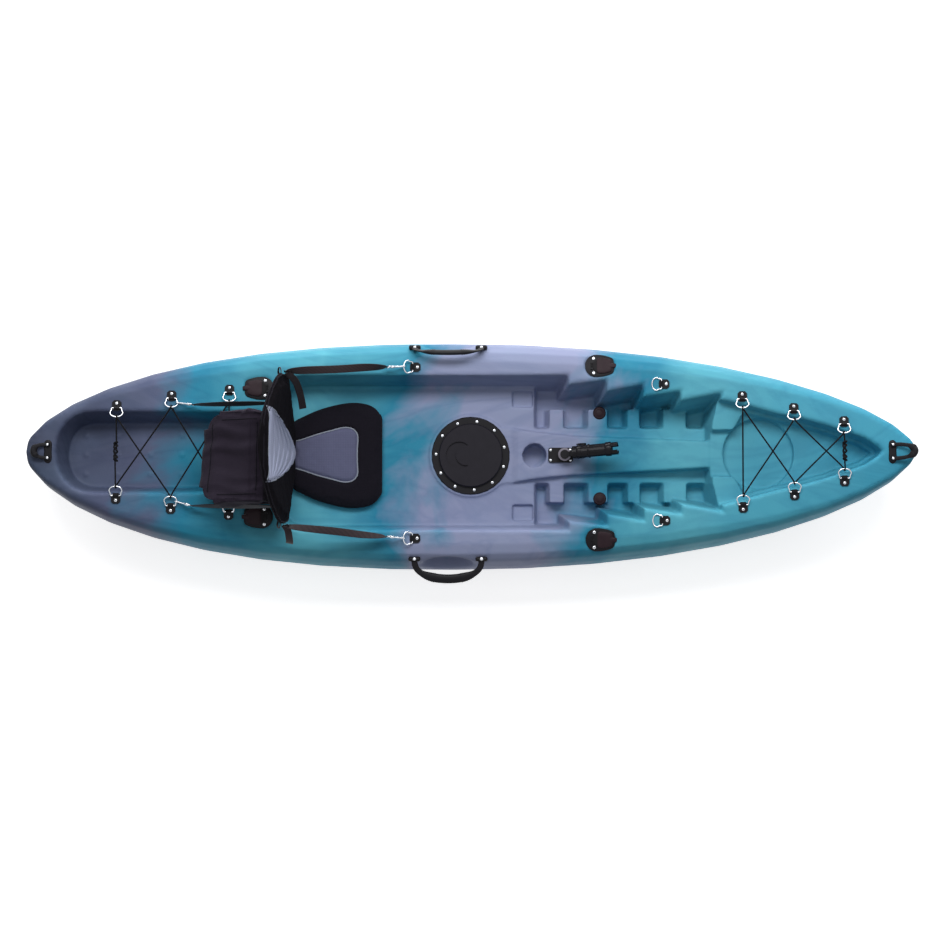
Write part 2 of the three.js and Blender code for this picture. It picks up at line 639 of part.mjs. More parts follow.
// The outline of the plate: a large arc aft and a small one forward.
function holderPlan(grow) {
  const plan = [];
  const halfArc = holder.foreArcShare * Math.PI;
  for (let i = 0; i <= stepsOf.foreArc; i += 1) {
    const a = mix(-halfArc, halfArc, i / stepsOf.foreArc);
    const radius = holder.foreRadius + grow;
    plan.push([holder.foreX + radius * Math.cos(a), radius * Math.sin(a)]);
  }
  for (let i = 0; i <= stepsOf.aftArc; i += 1) {
    const a = mix(halfArc, 2 * Math.PI - halfArc, i / stepsOf.aftArc);
    const radius = holder.aftRadius + grow;
    plan.push([holder.aftX + radius * Math.cos(a), radius * Math.sin(a)]);
  }
  return plan;
}

function slantingTube(radius, topZ, bottomZ) {
  const circle = (z) => Array.from({ length: sidesOf.ball }, (_, i) => {
    const a = (2 * Math.PI * i) / sidesOf.ball;
    const x = holder.slantShare * Math.min(0, z + holder.straight);
    return [x + radius * Math.cos(a), radius * Math.sin(a), z];
  });
  return toSolid(loft([circle(bottomZ), circle(-holder.straight), circle(topZ)]));
}

function rodHolder() {
  const h = holder;
  const plate = toSolid(slab(holderPlan(0), 0, h.plate));
  const heads = [1, -1].map((side) => toSolid(upright(
    h.screwRadius, half(h.plate), h.plate + h.screwHeight, h.screwX, side * h.screwY, sidesOf.bump,
    half(h.screwRadius),
  )));
  const lugs = [1, -1].map((side) => toSolid(block(
    h.hingeX - half(h.lugWidth), h.hingeX + half(h.lugWidth),
    Math.min(side * h.lugInnerY, side * h.lugOuterY), Math.max(side * h.lugInnerY, side * h.lugOuterY),
    half(h.plate), h.plate + 2 * h.barrel + gap,
  )));
  const tube = slantingTube(h.tubeRadius, half(h.plate), -h.depth);
  const outside = plate.add(tube).add(join([...heads, ...lugs]));
  return outside.subtract(slantingTube(h.bore, h.plate + overrun, h.floor - h.depth));
}

// The cap lies over the plate, its hinge barrel between the plate's lugs.
function holderCap() {
  const h = holder;
  const low = h.plate + gap;
  const side = Array.from({ length: stepsOf.cap + 1 }, (_, i) => {
    const a = Math.PI * mix(h.capArcShares[0], h.capArcShares[1], i / stepsOf.cap);
    return [h.capRadius * Math.cos(a), h.capRadius * Math.sin(a)];
  });
  const neck = h.lugInnerY - 2 * gap;
  const lugFront = h.hingeX + half(h.lugWidth) + 2 * gap;
  const tab = [[h.capTabX, h.capTabY], [half(h.capTabX), h.capNeckY]];
  const port = [...tab, ...side, [lugFront, neck], [h.hingeX, neck]];
  const plan = [...port, ...port.map(([x, y]) => [x, -y]).reverse()];
  const stopper = upright(h.plug, low - h.plugDepth - gap, low + half(h.capThick), 0, 0, sidesOf.ball);
  const barrel = across(h.barrel, -neck, neck, h.hingeX, low + h.barrel, sidesOf.bump);
  return toSolid(slab(plan, low, low + h.capThick)).add(toSolid(stopper)).add(toSolid(barrel));
}

// Swivel rod holder on the spine
const swivel = {
  xShare: 0.2142, plateAft: 54, plateFore: 28, plateWidth: 50, plateThick: 6, plateCorner: 8, screwInset: 8,
  screwRadius: 4, screwHeight: 2,
  postRadius: 15, postFoot: 19, footHeight: 3, postHeight: 32,
  collarRadius: 22, clearance: 0.4, collarHeight: 22,
  armWidth: 17, armReach: 58, tiltZ: 40, armRadius: 11, pin: 4, heading: 0.08,
  cheekInner: 9, cheekOuter: 15, cheekRadius: 10,
  tubeOuter: 21, tubeInner: 18, tubeAxisZ: 34, tubeFromX: -26, tubeToX: 126, slotLength: 20, slotWidth: 13,
  tubeTilt: -0.2, knobRadius: 17, knobThick: 15, knobFlutes: 9, fluteShare: 0.88, nut: 7, nutThick: 4,
};
addPlaces(swivel);
const swivelZ = spineFlatZ + gap;
const plateTopZ = swivelZ + swivel.plateThick;

function swivelBase() {
  const w = swivel;
  const centreX = w.x + half(w.plateFore - w.plateAft);
  const length = w.plateAft + w.plateFore;
  const plan = roundedPlan(length, w.plateWidth, w.plateCorner).map(([x, y]) => [x + centreX, y]);
  const rootZ = swivelZ + half(w.plateThick);
  const [screwX, screwY] = [half(length) - w.screwInset, half(w.plateWidth) - w.screwInset];
  const heads = [[1, 1], [1, -1], [-1, 1], [-1, -1]].map(([sx, sy]) => toSolid(upright(
    w.screwRadius, rootZ, plateTopZ + w.screwHeight, centreX + sx * screwX, sy * screwY, sidesOf.screw,
    half(w.screwRadius),
  )));
  const post = toSolid(upright(w.postRadius, rootZ, plateTopZ + w.postHeight, w.x, 0, sidesOf.tube));
  const foot = toSolid(upright(w.postFoot, rootZ, plateTopZ + w.footHeight, w.x, 0, sidesOf.tube));
  return toSolid(slab(plan, swivelZ, plateTopZ)).add(post).add(foot).add(join(heads));
}

// In a frame that turns about the post, on top of the plate.
function swivelHead() {
  const w = swivel;
  const low = w.footHeight + gap;
  const collar = toSolid(upright(w.collarRadius, low, low + w.collarHeight, 0, 0, sidesOf.tube));
  const arm = toSolid(sideProfile([
    [0, low], [w.armReach - half(w.armRadius), low], [w.armReach + w.armRadius, w.tiltZ],
    [w.armReach, w.tiltZ + half(w.armRadius)], [w.armReach - w.armRadius, w.tiltZ], [0, low + w.collarHeight],
  ], -half(w.armWidth), half(w.armWidth)));
  const armHalf = half(w.armWidth);
  const boss = toSolid(across(w.armRadius, -armHalf, armHalf, w.armReach, w.tiltZ, sidesOf.ball));
  const bore = upright(w.postRadius + w.clearance, low - overrun, low + overrun, 0, 0, sidesOf.tube);
  const pinHole = across(w.pin + w.clearance, -overrun, overrun, w.armReach, w.tiltZ, sidesOf.barrel);
  return collar.add(arm).add(boss).subtract(toSolid(bore)).subtract(toSolid(pinHole));
}

// In the frame of the tilt axis, with the tube along X.
function rodCradle() {
  const w = swivel;
  const along = (radius, fromX, toX) => {
    const made = new THREE.CylinderGeometry(radius, radius, toX - fromX, sidesOf.tube);
    return toSolid(made.rotateZ(half(Math.PI)).translate(half(fromX + toX), 0, w.tubeAxisZ));
  };
  const cheeks = [1, -1].map((side) => {
    const faces = [side * w.cheekInner, side * w.cheekOuter];
    const [near, far] = [Math.min(...faces), Math.max(...faces)];
    const web = sideProfile([
      [-w.cheekRadius, 0], [w.cheekRadius, 0], [w.tubeOuter, w.tubeAxisZ], [-w.tubeOuter, w.tubeAxisZ],
    ], near, far);
    return toSolid(across(w.cheekRadius, near, far, 0, 0, sidesOf.barrel)).add(toSolid(web));
  });
  const slot = toSolid(block(
    w.tubeToX - w.slotLength, w.tubeToX + overrun,
    -half(w.slotWidth), half(w.slotWidth),
    0, w.tubeAxisZ + overrun,
  ));
  const tube = along(w.tubeOuter, w.tubeFromX, w.tubeToX);
  const bore = along(w.tubeInner, w.tubeFromX - overrun, w.tubeToX + overrun);
  const pinHole = toSolid(across(w.pin + w.clearance, -overrun, overrun, 0, 0, sidesOf.barrel));
  return tube.add(join(cheeks)).subtract(bore).subtract(slot).subtract(pinHole);
}

function cradleKnob() {
  const w = swivel;
  const flutes = Array.from({ length: 2 * w.knobFlutes }, (_, i) => {
    const a = (Math.PI * i) / w.knobFlutes;
    const r = i % 2 ? w.knobRadius : w.fluteShare * w.knobRadius;
    return [r * Math.cos(a), r * Math.sin(a)];
  });
  const faceY = w.cheekOuter + gap;
  const knob = toSolid(sideProfile(flutes, faceY, faceY + w.knobThick));
  const [pinFrom, pinTo] = [-faceY - half(w.nutThick), faceY + half(w.knobThick)];
  const pin = toSolid(across(w.pin, pinFrom, pinTo, 0, 0, sidesOf.barrel));
  const nut = toSolid(across(w.nut, -faceY - w.nutThick, -faceY, 0, 0, sidesOf.screw));
  return knob.add(pin).add(nut);
}

// Grab handles: a strip that swells into a grip, turning on barrels at its two bolts
const sideHandle = {
  span: 222, reach: 66, strip: 20, grip: 30, stripThick: 5, gripThick: 16, barrel: 8, barrelLength: 24,
  xShare: -0.0495, shoulderShare: 0.906, leftAngle: 1.95, rightAngle: -0.15,
};
addPlaces(sideHandle);
const bowHandle = {
  span: 46, reach: 74, strip: 13, grip: 24, stripThick: 5, gripThick: 12, barrel: 7, barrelLength: 18,
  fromEnd: 83, y: -3, angle: 0.42,
};
const sternHandle = {
  span: 44, reach: 46, strip: 12, grip: 22, stripThick: 5, gripThick: 12, barrel: 7, barrelLength: 16,
  fromEnd: 81, y: 0, angle: 0.3,
};

// The shape of the arch, where along it the strip swells, and the section of strip and grip
const archPower = 0.7;
const tangentTurn = 0.05;
const swellShares = { from: 0.55, over: 0.4 };
const stripShares = [
  [1, 0.5], [0.6, 1], [-0.6, 1], [-1, 0.5], [-1, -0.5], [-0.6, -1], [0.6, -1], [1, -0.5],
];

// In a frame with the two bolts on X and the arch towards +Y.
function grabHandle({ span, reach, strip, grip, stripThick, gripThick, barrel, barrelLength }) {
  const last = stepsOf.arch;
  const at = (t) => {
    const rise = Math.max(0, Math.sin(t)) ** archPower;
    return new THREE.Vector2(-half(span) * Math.cos(t), reach * rise);
  };
  const ring = Array.from({ length: last + 1 }, (_, i) => {
    const a = (Math.PI * i) / last;
    const p = at(a);
    const along = new THREE.Vector2().subVectors(at(a + tangentTurn), at(a - tangentTurn)).normalize();
    if (i === 0 || i === last) along.set(0, i === 0 ? 1 : -1);
    const swell = smooth((Math.sin(a) - swellShares.from) / swellShares.over);
    const [w, t] = [half(mix(strip, grip, swell)), half(mix(stripThick, gripThick, swell))];
    return stripShares.map(([u, v]) => [p.x - along.y * u * w, p.y + along.x * u * w, v * t]);
  });
  const eyes = [-1, 1].map((side) => {
    const made = new THREE.CylinderGeometry(barrel, barrel, barrelLength, sidesOf.barrel);
    return toSolid(made.rotateZ(half(Math.PI)).translate(side * half(span), 0, 0));
  });
  return toSolid(loft(ring, [0, 2])).add(join(eyes));
}

// The place and the outward direction of a point on the side of a section, by its width share.
function shoulderPoint(x, share) {
  const points = hullRing(x).slice(midBottomShares.length - 1, midBottomShares.length + topShares.length);
  const y = share * halfBeam(x);
  const i = points.findIndex((p) => p[1] <= y);
  const [lower, upper] = [points[i - 1], points[i]];
  const t = (lower[1] - y) / (lower[1] - upper[1]);
  const slope = new THREE.Vector2(lower[1] - upper[1], lower[2] - upper[2]).normalize();
  return { y, z: mix(lower[2], upper[2], t), outY: -slope.y, outZ: slope.x };
}

// Lacing eyes: a plate with one screw and a hump that holds a steel ring
const eye = {
  width: 31, length: 35, thick: 3.5, corner: 7, screwY: -7, screwRadius: 4.6, screwHeight: 2.2,
  humpY: 9, humpLength: 20, humpRadius: 4.8, ringZ: 6.2, wire: 2, bore: 2.7,
  ringHalfWidth: 21, ringLength: 33, ringTilt: 0.21, barHalf: 15, arcShares: [-0.18, 1.18],
};

function eyePlate(boreRadius) {
  const e = eye;
  const plate = toSolid(slab(roundedPlan(e.width, e.length, e.corner, 1), 0, e.thick));
  const head = toSolid(upright(
    e.screwRadius, half(e.thick), e.thick + e.screwHeight, 0, e.screwY, sidesOf.screw, half(e.screwRadius),
  ));
  const along = (radius, length) => {
    const made = new THREE.CylinderGeometry(radius, radius, length, sidesOf.screw).rotateZ(half(Math.PI));
    return toSolid(made.translate(0, e.humpY, e.ringZ));
  };
  const root = toSolid(block(
    -half(e.humpLength), half(e.humpLength),
    e.humpY - e.humpRadius, e.humpY + e.humpRadius,
    half(e.thick), e.ringZ,
  ));
  const hump = along(e.humpRadius, e.humpLength).add(root);
  const whole = plate.add(head).add(hump);
  return boreRadius ? whole.subtract(along(boreRadius, e.width)) : whole;
}

// A D-shaped ring with its straight bar on X and its bow towards +Y.
function eyeRing() {
  const e = eye;
  const middle = half(e.ringLength) - e.wire;
  const points = [-e.barHalf, 0, e.barHalf].map((x) => new THREE.Vector3(x, 0, 0));
  for (let i = 0; i <= stepsOf.ring; i += 1) {
    const a = Math.PI * mix(e.arcShares[0], e.arcShares[1], i / stepsOf.ring);
    points.push(new THREE.Vector3(e.ringHalfWidth * Math.cos(a), middle + middle * Math.sin(a) + e.wire, 0));
  }
  return closedTube(points, e.wire, sidesOf.wire, new THREE.Vector3(0, 0, 1));
}

// A lacing eye with its ring held in the hump by the taut cord.
function lacingEye() {
  const ring = toGeometry(eyeRing()).rotateX(eye.ringTilt).translate(0, eye.humpY, eye.ringZ);
  return eyePlate(0).add(toSolid(ring));
}

// A fitting's frame on the deck: its +Y turned to a heading and its +Z along the deck's normal.
function deckMatrix(x, y, heading) {
  const e = half(eye.thick);
  const rise = (dx, dy) => deckTopZ(x + dx, y + dy) - deckTopZ(x - dx, y - dy);
  const normal = new THREE.Vector3(-half(rise(e, 0)), -half(rise(0, e)), e).normalize();
  const tilt = new THREE.Quaternion().setFromUnitVectors(new THREE.Vector3(0, 0, 1), normal);
  const turn = new THREE.Quaternion().setFromAxisAngle(new THREE.Vector3(0, 0, 1), heading);
  const reach = half(eye.length);
  const corners = [-1, 1].flatMap((sx) => [-1, 1].map((sy) => [x + sx * reach, y + sy * reach]));
  const plane = ([cx, cy]) => deckTopZ(x, y) - ((cx - x) * normal.x + (cy - y) * normal.y) / normal.z;
  const lift = Math.max(...[[x, y], ...corners].map((c) => deckFacetZ(...c) - plane(c)));
  const place = new THREE.Vector3(x, y, deckTopZ(x, y) + lift).addScaledVector(normal, gap);
  return new THREE.Matrix4().compose(place, tilt.multiply(turn), new THREE.Vector3(1, 1, 1));
}

// A group that holds its pieces in a frame.
function inFrame(matrix) {
  const group = new THREE.Group();
  matrix.decompose(group.position, group.quaternion, group.scale);
  kayak.add(group);
  return group;
}

const cordRadius = 2.5;
const knotLength = 70;
const cordGaps = 3; // how many gaps a cord keeps from the ring that it goes round
const leadIn = 3; // how many turning radii before a ring the cord heads for it
const knotShares = [3, 2]; // width and height of a knot, in cord radii
const bowEyes = onDeck([[0.8373, 0.2559], [0.7261, 0.3734], [0.6115, 0.4804]]);
const strapEyes = { xShare: -0.1234, yShare: 0.7441 };
addPlaces(strapEyes);
const footEyes = { xShare: 0.4366, yShare: 0.5927 };
addPlaces(footEyes);

// Where the far bar of a lacing ring lies.
function ringBar(x, y) {
  const reach = eye.ringLength - eye.wire;
  const local = new THREE.Vector3(
    0, eye.humpY + reach * Math.cos(eye.ringTilt), eye.ringZ + reach * Math.sin(eye.ringTilt),
  );
  return local.applyMatrix4(deckMatrix(x, y, y > 0 ? Math.PI : 0));
}

// The route of a shock cord, laced through three pairs of eyes. At each ring it comes in under the
// bar, goes round it and leaves over it; strands cross in the middle, one above the other.
function lacingRoute(pairs) {
  const [first, second, third] = pairs;
  const order = [[first, 1], [second, -1], [third, 1], [third, -1], [second, 1], [first, -1]];
  const bars = order.map(([[x, y], side]) => ringBar(x, side * y));
  const last = bars.length - 1;
  const centre = new THREE.Vector3(first[0], 0, half(bars[0].z + bars[last].z));
  const reach = eye.wire + cordRadius + cordGaps * gap;
  const points = [centre.clone().add(new THREE.Vector3(cordRadius + gap, 0, 0))];
  bars.forEach((bar, i) => {
    const before = i === 0 ? centre : bars[i - 1];
    const after = i === last ? centre : bars[i + 1];
    if (i > 0) points.push(crossing(before, bar, i));
    const from = new THREE.Vector3().subVectors(before, bar).setZ(0).normalize();
    const to = new THREE.Vector3().subVectors(after, bar).setZ(0).normalize();
    points.push(bar.clone().addScaledVector(from, leadIn * reach).add(new THREE.Vector3(0, 0, -half(reach))));
    for (let k = 0; k <= stepsOf.turn; k += 1) {
      const a = Math.PI * (k / stepsOf.turn - half(1));
      const aside = mix(from.x, to.x, k / stepsOf.turn) * reach * Math.abs(Math.sin(a));
      points.push(new THREE.Vector3(
        bar.x + aside, bar.y + order[i][1] * reach * Math.cos(a), bar.z + reach * Math.sin(a),
      ));
    }
    points.push(bar.clone().addScaledVector(to, leadIn * reach).add(new THREE.Vector3(0, 0, half(reach))));
  });
  points.push(centre.clone().add(new THREE.Vector3(-cordRadius - gap, 0, 0)));
  return { points, centre };
}

// Where a strand between two rings passes the middle.
function crossing(from, to, leg) {
  const middle = from.clone().lerp(to, Math.abs(from.y) / (Math.abs(from.y) + Math.abs(to.y)));
  if (leg !== 3) middle.z += (leg < 3 ? 1 : -1) * (cordRadius + gap);
  return middle;
}

// A round cord through points, its section carried along without twist.
function cordTube(points, radius, sides) {
  const last = points.length - 1;
  const side = new THREE.Vector3(0, 0, 1);
  const rings = points.map((p, i) => {
    const along = new THREE.Vector3().subVectors(points[Math.min(i + 1, last)], points[Math.max(i - 1, 0)]);
    along.normalize();
    side.addScaledVector(along, -side.dot(along)).normalize();
    const other = new THREE.Vector3().crossVectors(along, side);
    return Array.from({ length: sides }, (_, k) => {
      const a = (2 * Math.PI * k) / sides;
      const q = p.clone().addScaledVector(side, radius * Math.cos(a));
      return q.addScaledVector(other, radius * Math.sin(a)).toArray();
    });
  });
  return toSolid(loft(rings, [0, 2]));
}

// A shock cord with the bulk of its knot over the two ends.
function shockCord(pairs, length) {
  const { points, centre } = lacingRoute(pairs);
  const knot = new THREE.SphereGeometry(1, sidesOf.cord, sidesOf.wire);
  const [wide, high] = knotShares.map((share) => share * cordRadius);
  knot.scale(wide, half(length), high).translate(centre.x, centre.y, centre.z);
  return cordTube(points, cordRadius, sidesOf.cord).add(toSolid(knot));
}

// Seat: pad, backrest, bag behind it, and the webbing that holds the backrest
const back = {
  hingeXShare: -0.4014, hingeZ: 208, lean: -0.19,
  height: 410, halfWidth: 253, thick: 30, wrap: 30, toe: 3,
  ribs: 6, ribHeight: 5, ribFrom: 50, ribTo: 385, ribHalfLow: 46, ribHalfTop: 121, rows: 26, columns: 10,
  edgeShare: 0.96, edgePower: 6,
  // Shares of the height up the backrest, and of the half width there
  outlineShares: [
    [0, 0.277], [0.049, 0.356], [0.146, 0.553], [0.268, 0.81], [0.366, 0.949], [0.488, 1],
    [0.61, 0.992], [0.707, 0.925], [0.805, 0.775], [0.89, 0.585], [0.951, 0.435], [0.985, 0.3],
    [1, 0.19],
  ],
};
addPlaces(back);

const pad = {
  length: 327, halfWidth: 187, behindHinge: 20,
  // Shares of the length from the front edge, and of the half width
  outlineShares: [
    [0, 0], [0, 0.471], [0.028, 0.749], [0.107, 0.92], [0.229, 0.995], [0.413, 1], [0.657, 0.898],
    [0.841, 0.765], [0.963, 0.652], [1, 0.535], [1, 0],
  ],
  panelShares: [
    [0.284, 0], [0.281, 0.321], [0.303, 0.417], [0.352, 0.481], [0.428, 0.492], [0.55, 0.439],
    [0.688, 0.374], [0.841, 0.289], [0.933, 0.246], [0.963, 0.203], [0.969, 0],
  ],
  footInset: 10, sideInset: 2, centreShare: 0.6, sideLow: 12, sideTop: 26,
  // From the rim to the groove round the panel, and on over the panel
  rimShares: [0.25, 0.6, 0.92, 1], rimHeights: [35, 39, 35, 32],
  innerShares: [0.9, 0.5], panelHeights: [36, 39],
};

function seatPad() {
  const frontX = back.hingeX - pad.behindHinge + pad.length;
  const place = ([u, v]) => [frontX - u * pad.length, v * pad.halfWidth];
  const [outer, panel] = [pad.outlineShares, pad.panelShares].map((shares) => mirrored(shares.map(place)));
  const centreX = frontX - pad.centreShare * pad.length;
  const between = (share) => outer.map(([x, y], i) => (
    [mix(x, panel[i][0], share), mix(y, panel[i][1], share)]
  ));
  const inward = (share) => panel.map(([x, y]) => [mix(centreX, x, share), y * share]);
  const rings = [
    [insetOutline(outer, pad.footInset), 0], [outer, pad.sideLow],
    [insetOutline(outer, pad.sideInset), pad.sideTop],
    ...pad.rimShares.map((share, i) => [between(share), pad.rimHeights[i]]),
    ...pad.innerShares.map((share, i) => [inward(share), pad.panelHeights[i]]),
  ];
  const low = cockpit.floorZ + gap;
  return toSolid(loft(rings.map(([plan, z]) => plan.map(([x, y]) => [x, y, low + z]))));
}

function backHalfWidth(v) {
  const share = v / back.height;
  const i = Math.max(1, back.outlineShares.findIndex(([upShare]) => upShare >= share));
  const [[low, lowWidth], [top, topWidth]] = [back.outlineShares[i - 1], back.outlineShares[i]];
  return back.halfWidth * mix(lowWidth, topWidth, (share - low) / (top - low));
}

function backWrap(u) {
  return back.wrap * (u / back.halfWidth) ** 2;
}

// In the frame of the fold: +X out of the front face, +Z up the backrest.
function seatBack() {
  const ribSpan = back.ribTo - back.ribFrom;
  const columns = Array.from({ length: back.columns + 1 }, (_, k) => k);
  const rings = [];
  for (let r = 0; r <= back.rows; r += 1) {
    const v = (back.height * r) / back.rows;
    const w = backHalfWidth(v);
    const [fromFoot, fromTop] = [v + back.toe, back.height - v + back.toe];
    const end = Math.sqrt(Math.min(1, fromFoot / back.ribFrom, fromTop / back.thick));
    const ribHalf = mix(back.ribHalfLow, back.ribHalfTop, clamp01((v - back.ribFrom) / ribSpan));
    const inRibs = v > back.ribFrom && v < back.ribTo;
    const wave = Math.abs(Math.sin((Math.PI * back.ribs * (v - back.ribFrom)) / ribSpan));
    const at = (k, face) => {
      const s = Math.sin(half(Math.PI) * ((2 * k) / back.columns - 1));
      const u = s * w;
      const edge = half(back.thick) * end * Math.sqrt(1 - back.edgeShare * Math.abs(s) ** back.edgePower);
      const sunk = face > 0 ? back.ribHeight * end : 0;
      const rib = face > 0 && inRibs && Math.abs(u) < ribHalf ? back.ribHeight * wave : 0;
      return [backWrap(u) + face * (edge - sunk) + rib, u, v];
    };
    rings.push([...columns.map((k) => at(k, -1)), ...columns.map((k) => at(k, 1)).reverse()]);
  }
  return toSolid(loft(rings, [0, 1]));
}

const bag = {
  length: 252, height: 152, bottom: 150, halfWidth: 150, centreY: -32, edge: 16,
  // Its side: shares of the length aft of the backrest, and of the height
  sideShares: [
    [0, 0], [0, 0.961], [0.238, 1], [0.714, 0.882], [0.976, 0.671], [1, 0.368], [0.754, 0.184],
    [0.317, 0.053],
  ],
};

function seatBag() {
  const face = -half(back.thick) - gap;
  const side = bag.sideShares.map(([u, v]) => [face - u * bag.length, bag.bottom + v * bag.height]);
  const small = insetOutline(side.slice().reverse(), bag.edge).reverse();
  const inner = bag.halfWidth - bag.edge;
  const widths = [[small, -bag.halfWidth], [side, -inner], [side, inner], [small, bag.halfWidth]];
  const rings = widths.map(([outline, y]) => (
    outline.map(([x, z]) => [Math.min(x, face), bag.centreY + y, z])
  ));
  return toSolid(loft(rings, [0, 2]));
}

const webbing = { width: 26, thick: 2.2 };

// A flat strip through points, its width as near to one direction as its way allows.
function strap(points, width) {
  const last = points.length - 1;
  const rings = points.map((p, i) => {
    const along = new THREE.Vector3().subVectors(points[Math.min(i + 1, last)], points[Math.max(i - 1, 0)]);
    along.normalize();
    const wide = width.clone().addScaledVector(along, -width.dot(along)).normalize();
    const thin = new THREE.Vector3().crossVectors(along, wide);
    return [[1, 1], [-1, 1], [-1, -1], [1, -1]].map(([a, b]) => {
      const corner = p.clone().addScaledVector(wide, a * half(webbing.width));
      return corner.addScaledVector(thin, b * half(webbing.thick)).toArray();
    });
  });
  const flat = points[0].x === points[last].x ? [0, 2] : [1, 2];
  return toSolid(loft(rings, flat));
}

// Snap hooks: a wire loop round the ring, a barrel and a loop for the webbing
const hook = {
  wire: 2, loopFrom: -5.1, loopTo: 34, loopHalf: 6.6,
  barrelRadius: 4.5, barrelTo: 46, eyeTo: 57, eyeHalf: 15,
};

// In a frame with the ring's wire at the origin and the pull of the webbing along +X.
function snapHook() {
  const h = hook;
  const flat = new THREE.Vector3(0, 1, 0);
  const loop = [];
  for (const [x, turn] of [[h.loopFrom + h.loopHalf, half(1)], [h.loopTo - h.loopHalf, -half(1)]]) {
    for (let i = 0; i <= stepsOf.turn; i += 1) {
      const a = Math.PI * (turn + i / stepsOf.turn);
      loop.push(new THREE.Vector3(x + h.loopHalf * Math.cos(a), 0, h.loopHalf * Math.sin(a)));
    }
  }
  const corner = h.wire;
  const box = [
    [h.barrelTo, -h.eyeHalf + corner], [h.barrelTo + corner, -h.eyeHalf], [h.eyeTo - corner, -h.eyeHalf],
    [h.eyeTo, -h.eyeHalf + corner], [h.eyeTo, h.eyeHalf - corner], [h.eyeTo - corner, h.eyeHalf],
    [h.barrelTo + corner, h.eyeHalf], [h.barrelTo, h.eyeHalf - corner],
  ].map(([x, z]) => new THREE.Vector3(x, 0, z));
  const length = h.barrelTo - h.loopTo + h.wire;
  const barrel = new THREE.CylinderGeometry(h.barrelRadius, h.barrelRadius, length, sidesOf.cord);
  barrel.rotateZ(half(Math.PI)).translate(half(h.barrelTo + h.loopTo), 0, 0);
  const wires = closedTube(loop, h.wire, sidesOf.wire, flat).add(closedTube(box, h.wire, sidesOf.wire, flat));
  return wires.add(toSolid(barrel));
}

// The frame of a hook at a ring, pulled towards a point.
function hookMatrix(ringPoint, towards) {
  const along = new THREE.Vector3().subVectors(towards, ringPoint).normalize();
  const up = new THREE.Vector3(0, 0, 1).addScaledVector(along, -along.z).normalize();
  const aside = new THREE.Vector3().crossVectors(up, along);
  return new THREE.Matrix4().makeBasis(along, aside, up).setPosition(ringPoint);
}

const strapRingTilt = 0.35;
const footRingTilt = -0.13;
// Where the webbing meets the backrest, how far beside the bag the rear one starts, and how far
// behind the bag it bends and meets its eye
const pull = {
  height: 216, frontBack: 12, frontOut: 1.4, besideBag: { left: 32, right: 8 },
  bendBehindBag: 38, eyeBehindBag: 145, eyeYShare: 0.4883,
};
// The middle pair of the stern's eyes carries the rear webbing, so it lies behind the bag.
const rearEye = [back.hingeX - bag.length - pull.eyeBehindBag, toPort(pull.eyeYShare)];
const [sternEyeAft, sternEyeFore] = onDeck([[-0.7932, 0.4021], [-0.541, 0.5405]]);
const sternEyes = [sternEyeAft, rearEye, sternEyeFore];
// Where the rear hooks lie on their rings, as shares of the ring's half width and length
const rearHookShares = { left: [1, 0.5], right: [0.92, 0.39] };

// The end of a rear strap on the back face, in the frame of the fold, clear of it by its own lean.
function rearPull(name, side) {
  const y = bag.halfWidth + side * bag.centreY + pull.besideBag[name];
  const share = y / backHalfWidth(pull.height);
  const face = backWrap(y) - half(back.thick) * Math.sqrt(1 - back.edgeShare * share ** back.edgePower);
  const stand = half(webbing.width) * Math.tan(Math.abs(back.lean)) + 2 * gap;
  return new THREE.Vector3(face - stand, side * y, pull.height);
}

// Plugs
const plug = { headRadius: 22, head: 4, stemTop: 15.2, stemFoot: 12, stem: 28, dome: 18 };
const drainPlug = { head: 15, headThick: 4, stem: 9, depth: 12, slot: 3, slotDepth: 2 };

function scupperPlug() {
  const low = cockpit.floorZ + gap;
  const stem = upright(
    plug.stemFoot, low - plug.stem, low + half(plug.head), 0, 0, sidesOf.hole, plug.stemTop,
  );
  const head = upright(plug.headRadius, low, low + plug.head, 0, 0, sidesOf.tube, plug.dome);
  return toSolid(head).add(toSolid(stem));
}

function sternPlug() {
  const d = drainPlug;
  const along = (radius, fromX, toX) => {
    const made = new THREE.CylinderGeometry(radius, radius, toX - fromX, sidesOf.ball);
    return toSolid(made.rotateZ(half(Math.PI)).translate(half(fromX + toX), 0, 0));
  };
  const outerFace = -gap - d.headThick;
  const slot = toSolid(block(
    -overrun, outerFace + d.slotDepth, -half(d.slot), half(d.slot), -d.stem, d.stem,
  ));
  const stem = along(d.stem, -gap - half(d.headThick), d.depth);
  return along(d.head, outerFace, -gap).add(stem).subtract(slot);
}

// The kayak
const bodyHull = makeHull();
part("hull", bodyHull, "hull");

const hatchGroup = inFrame(new THREE.Matrix4().makeTranslation(hatchBoss.x, 0, 0));
part("hatch_ring", hatchRing(), "black", hatchGroup);
part("hatch_gasket", hatchGasket(), "rubber", hatchGroup);
part("hatch_lid", hatchLid(), "black", hatchGroup);

for (const place of holders) {
  part(`rod_holder_${place.name}`, rodHolder(), "black", inFrame(holderMatrix(place, gap)));
  part(`rod_cap_${place.name}`, holderCap(), "rubber", inFrame(holderMatrix(place, gap)));
}

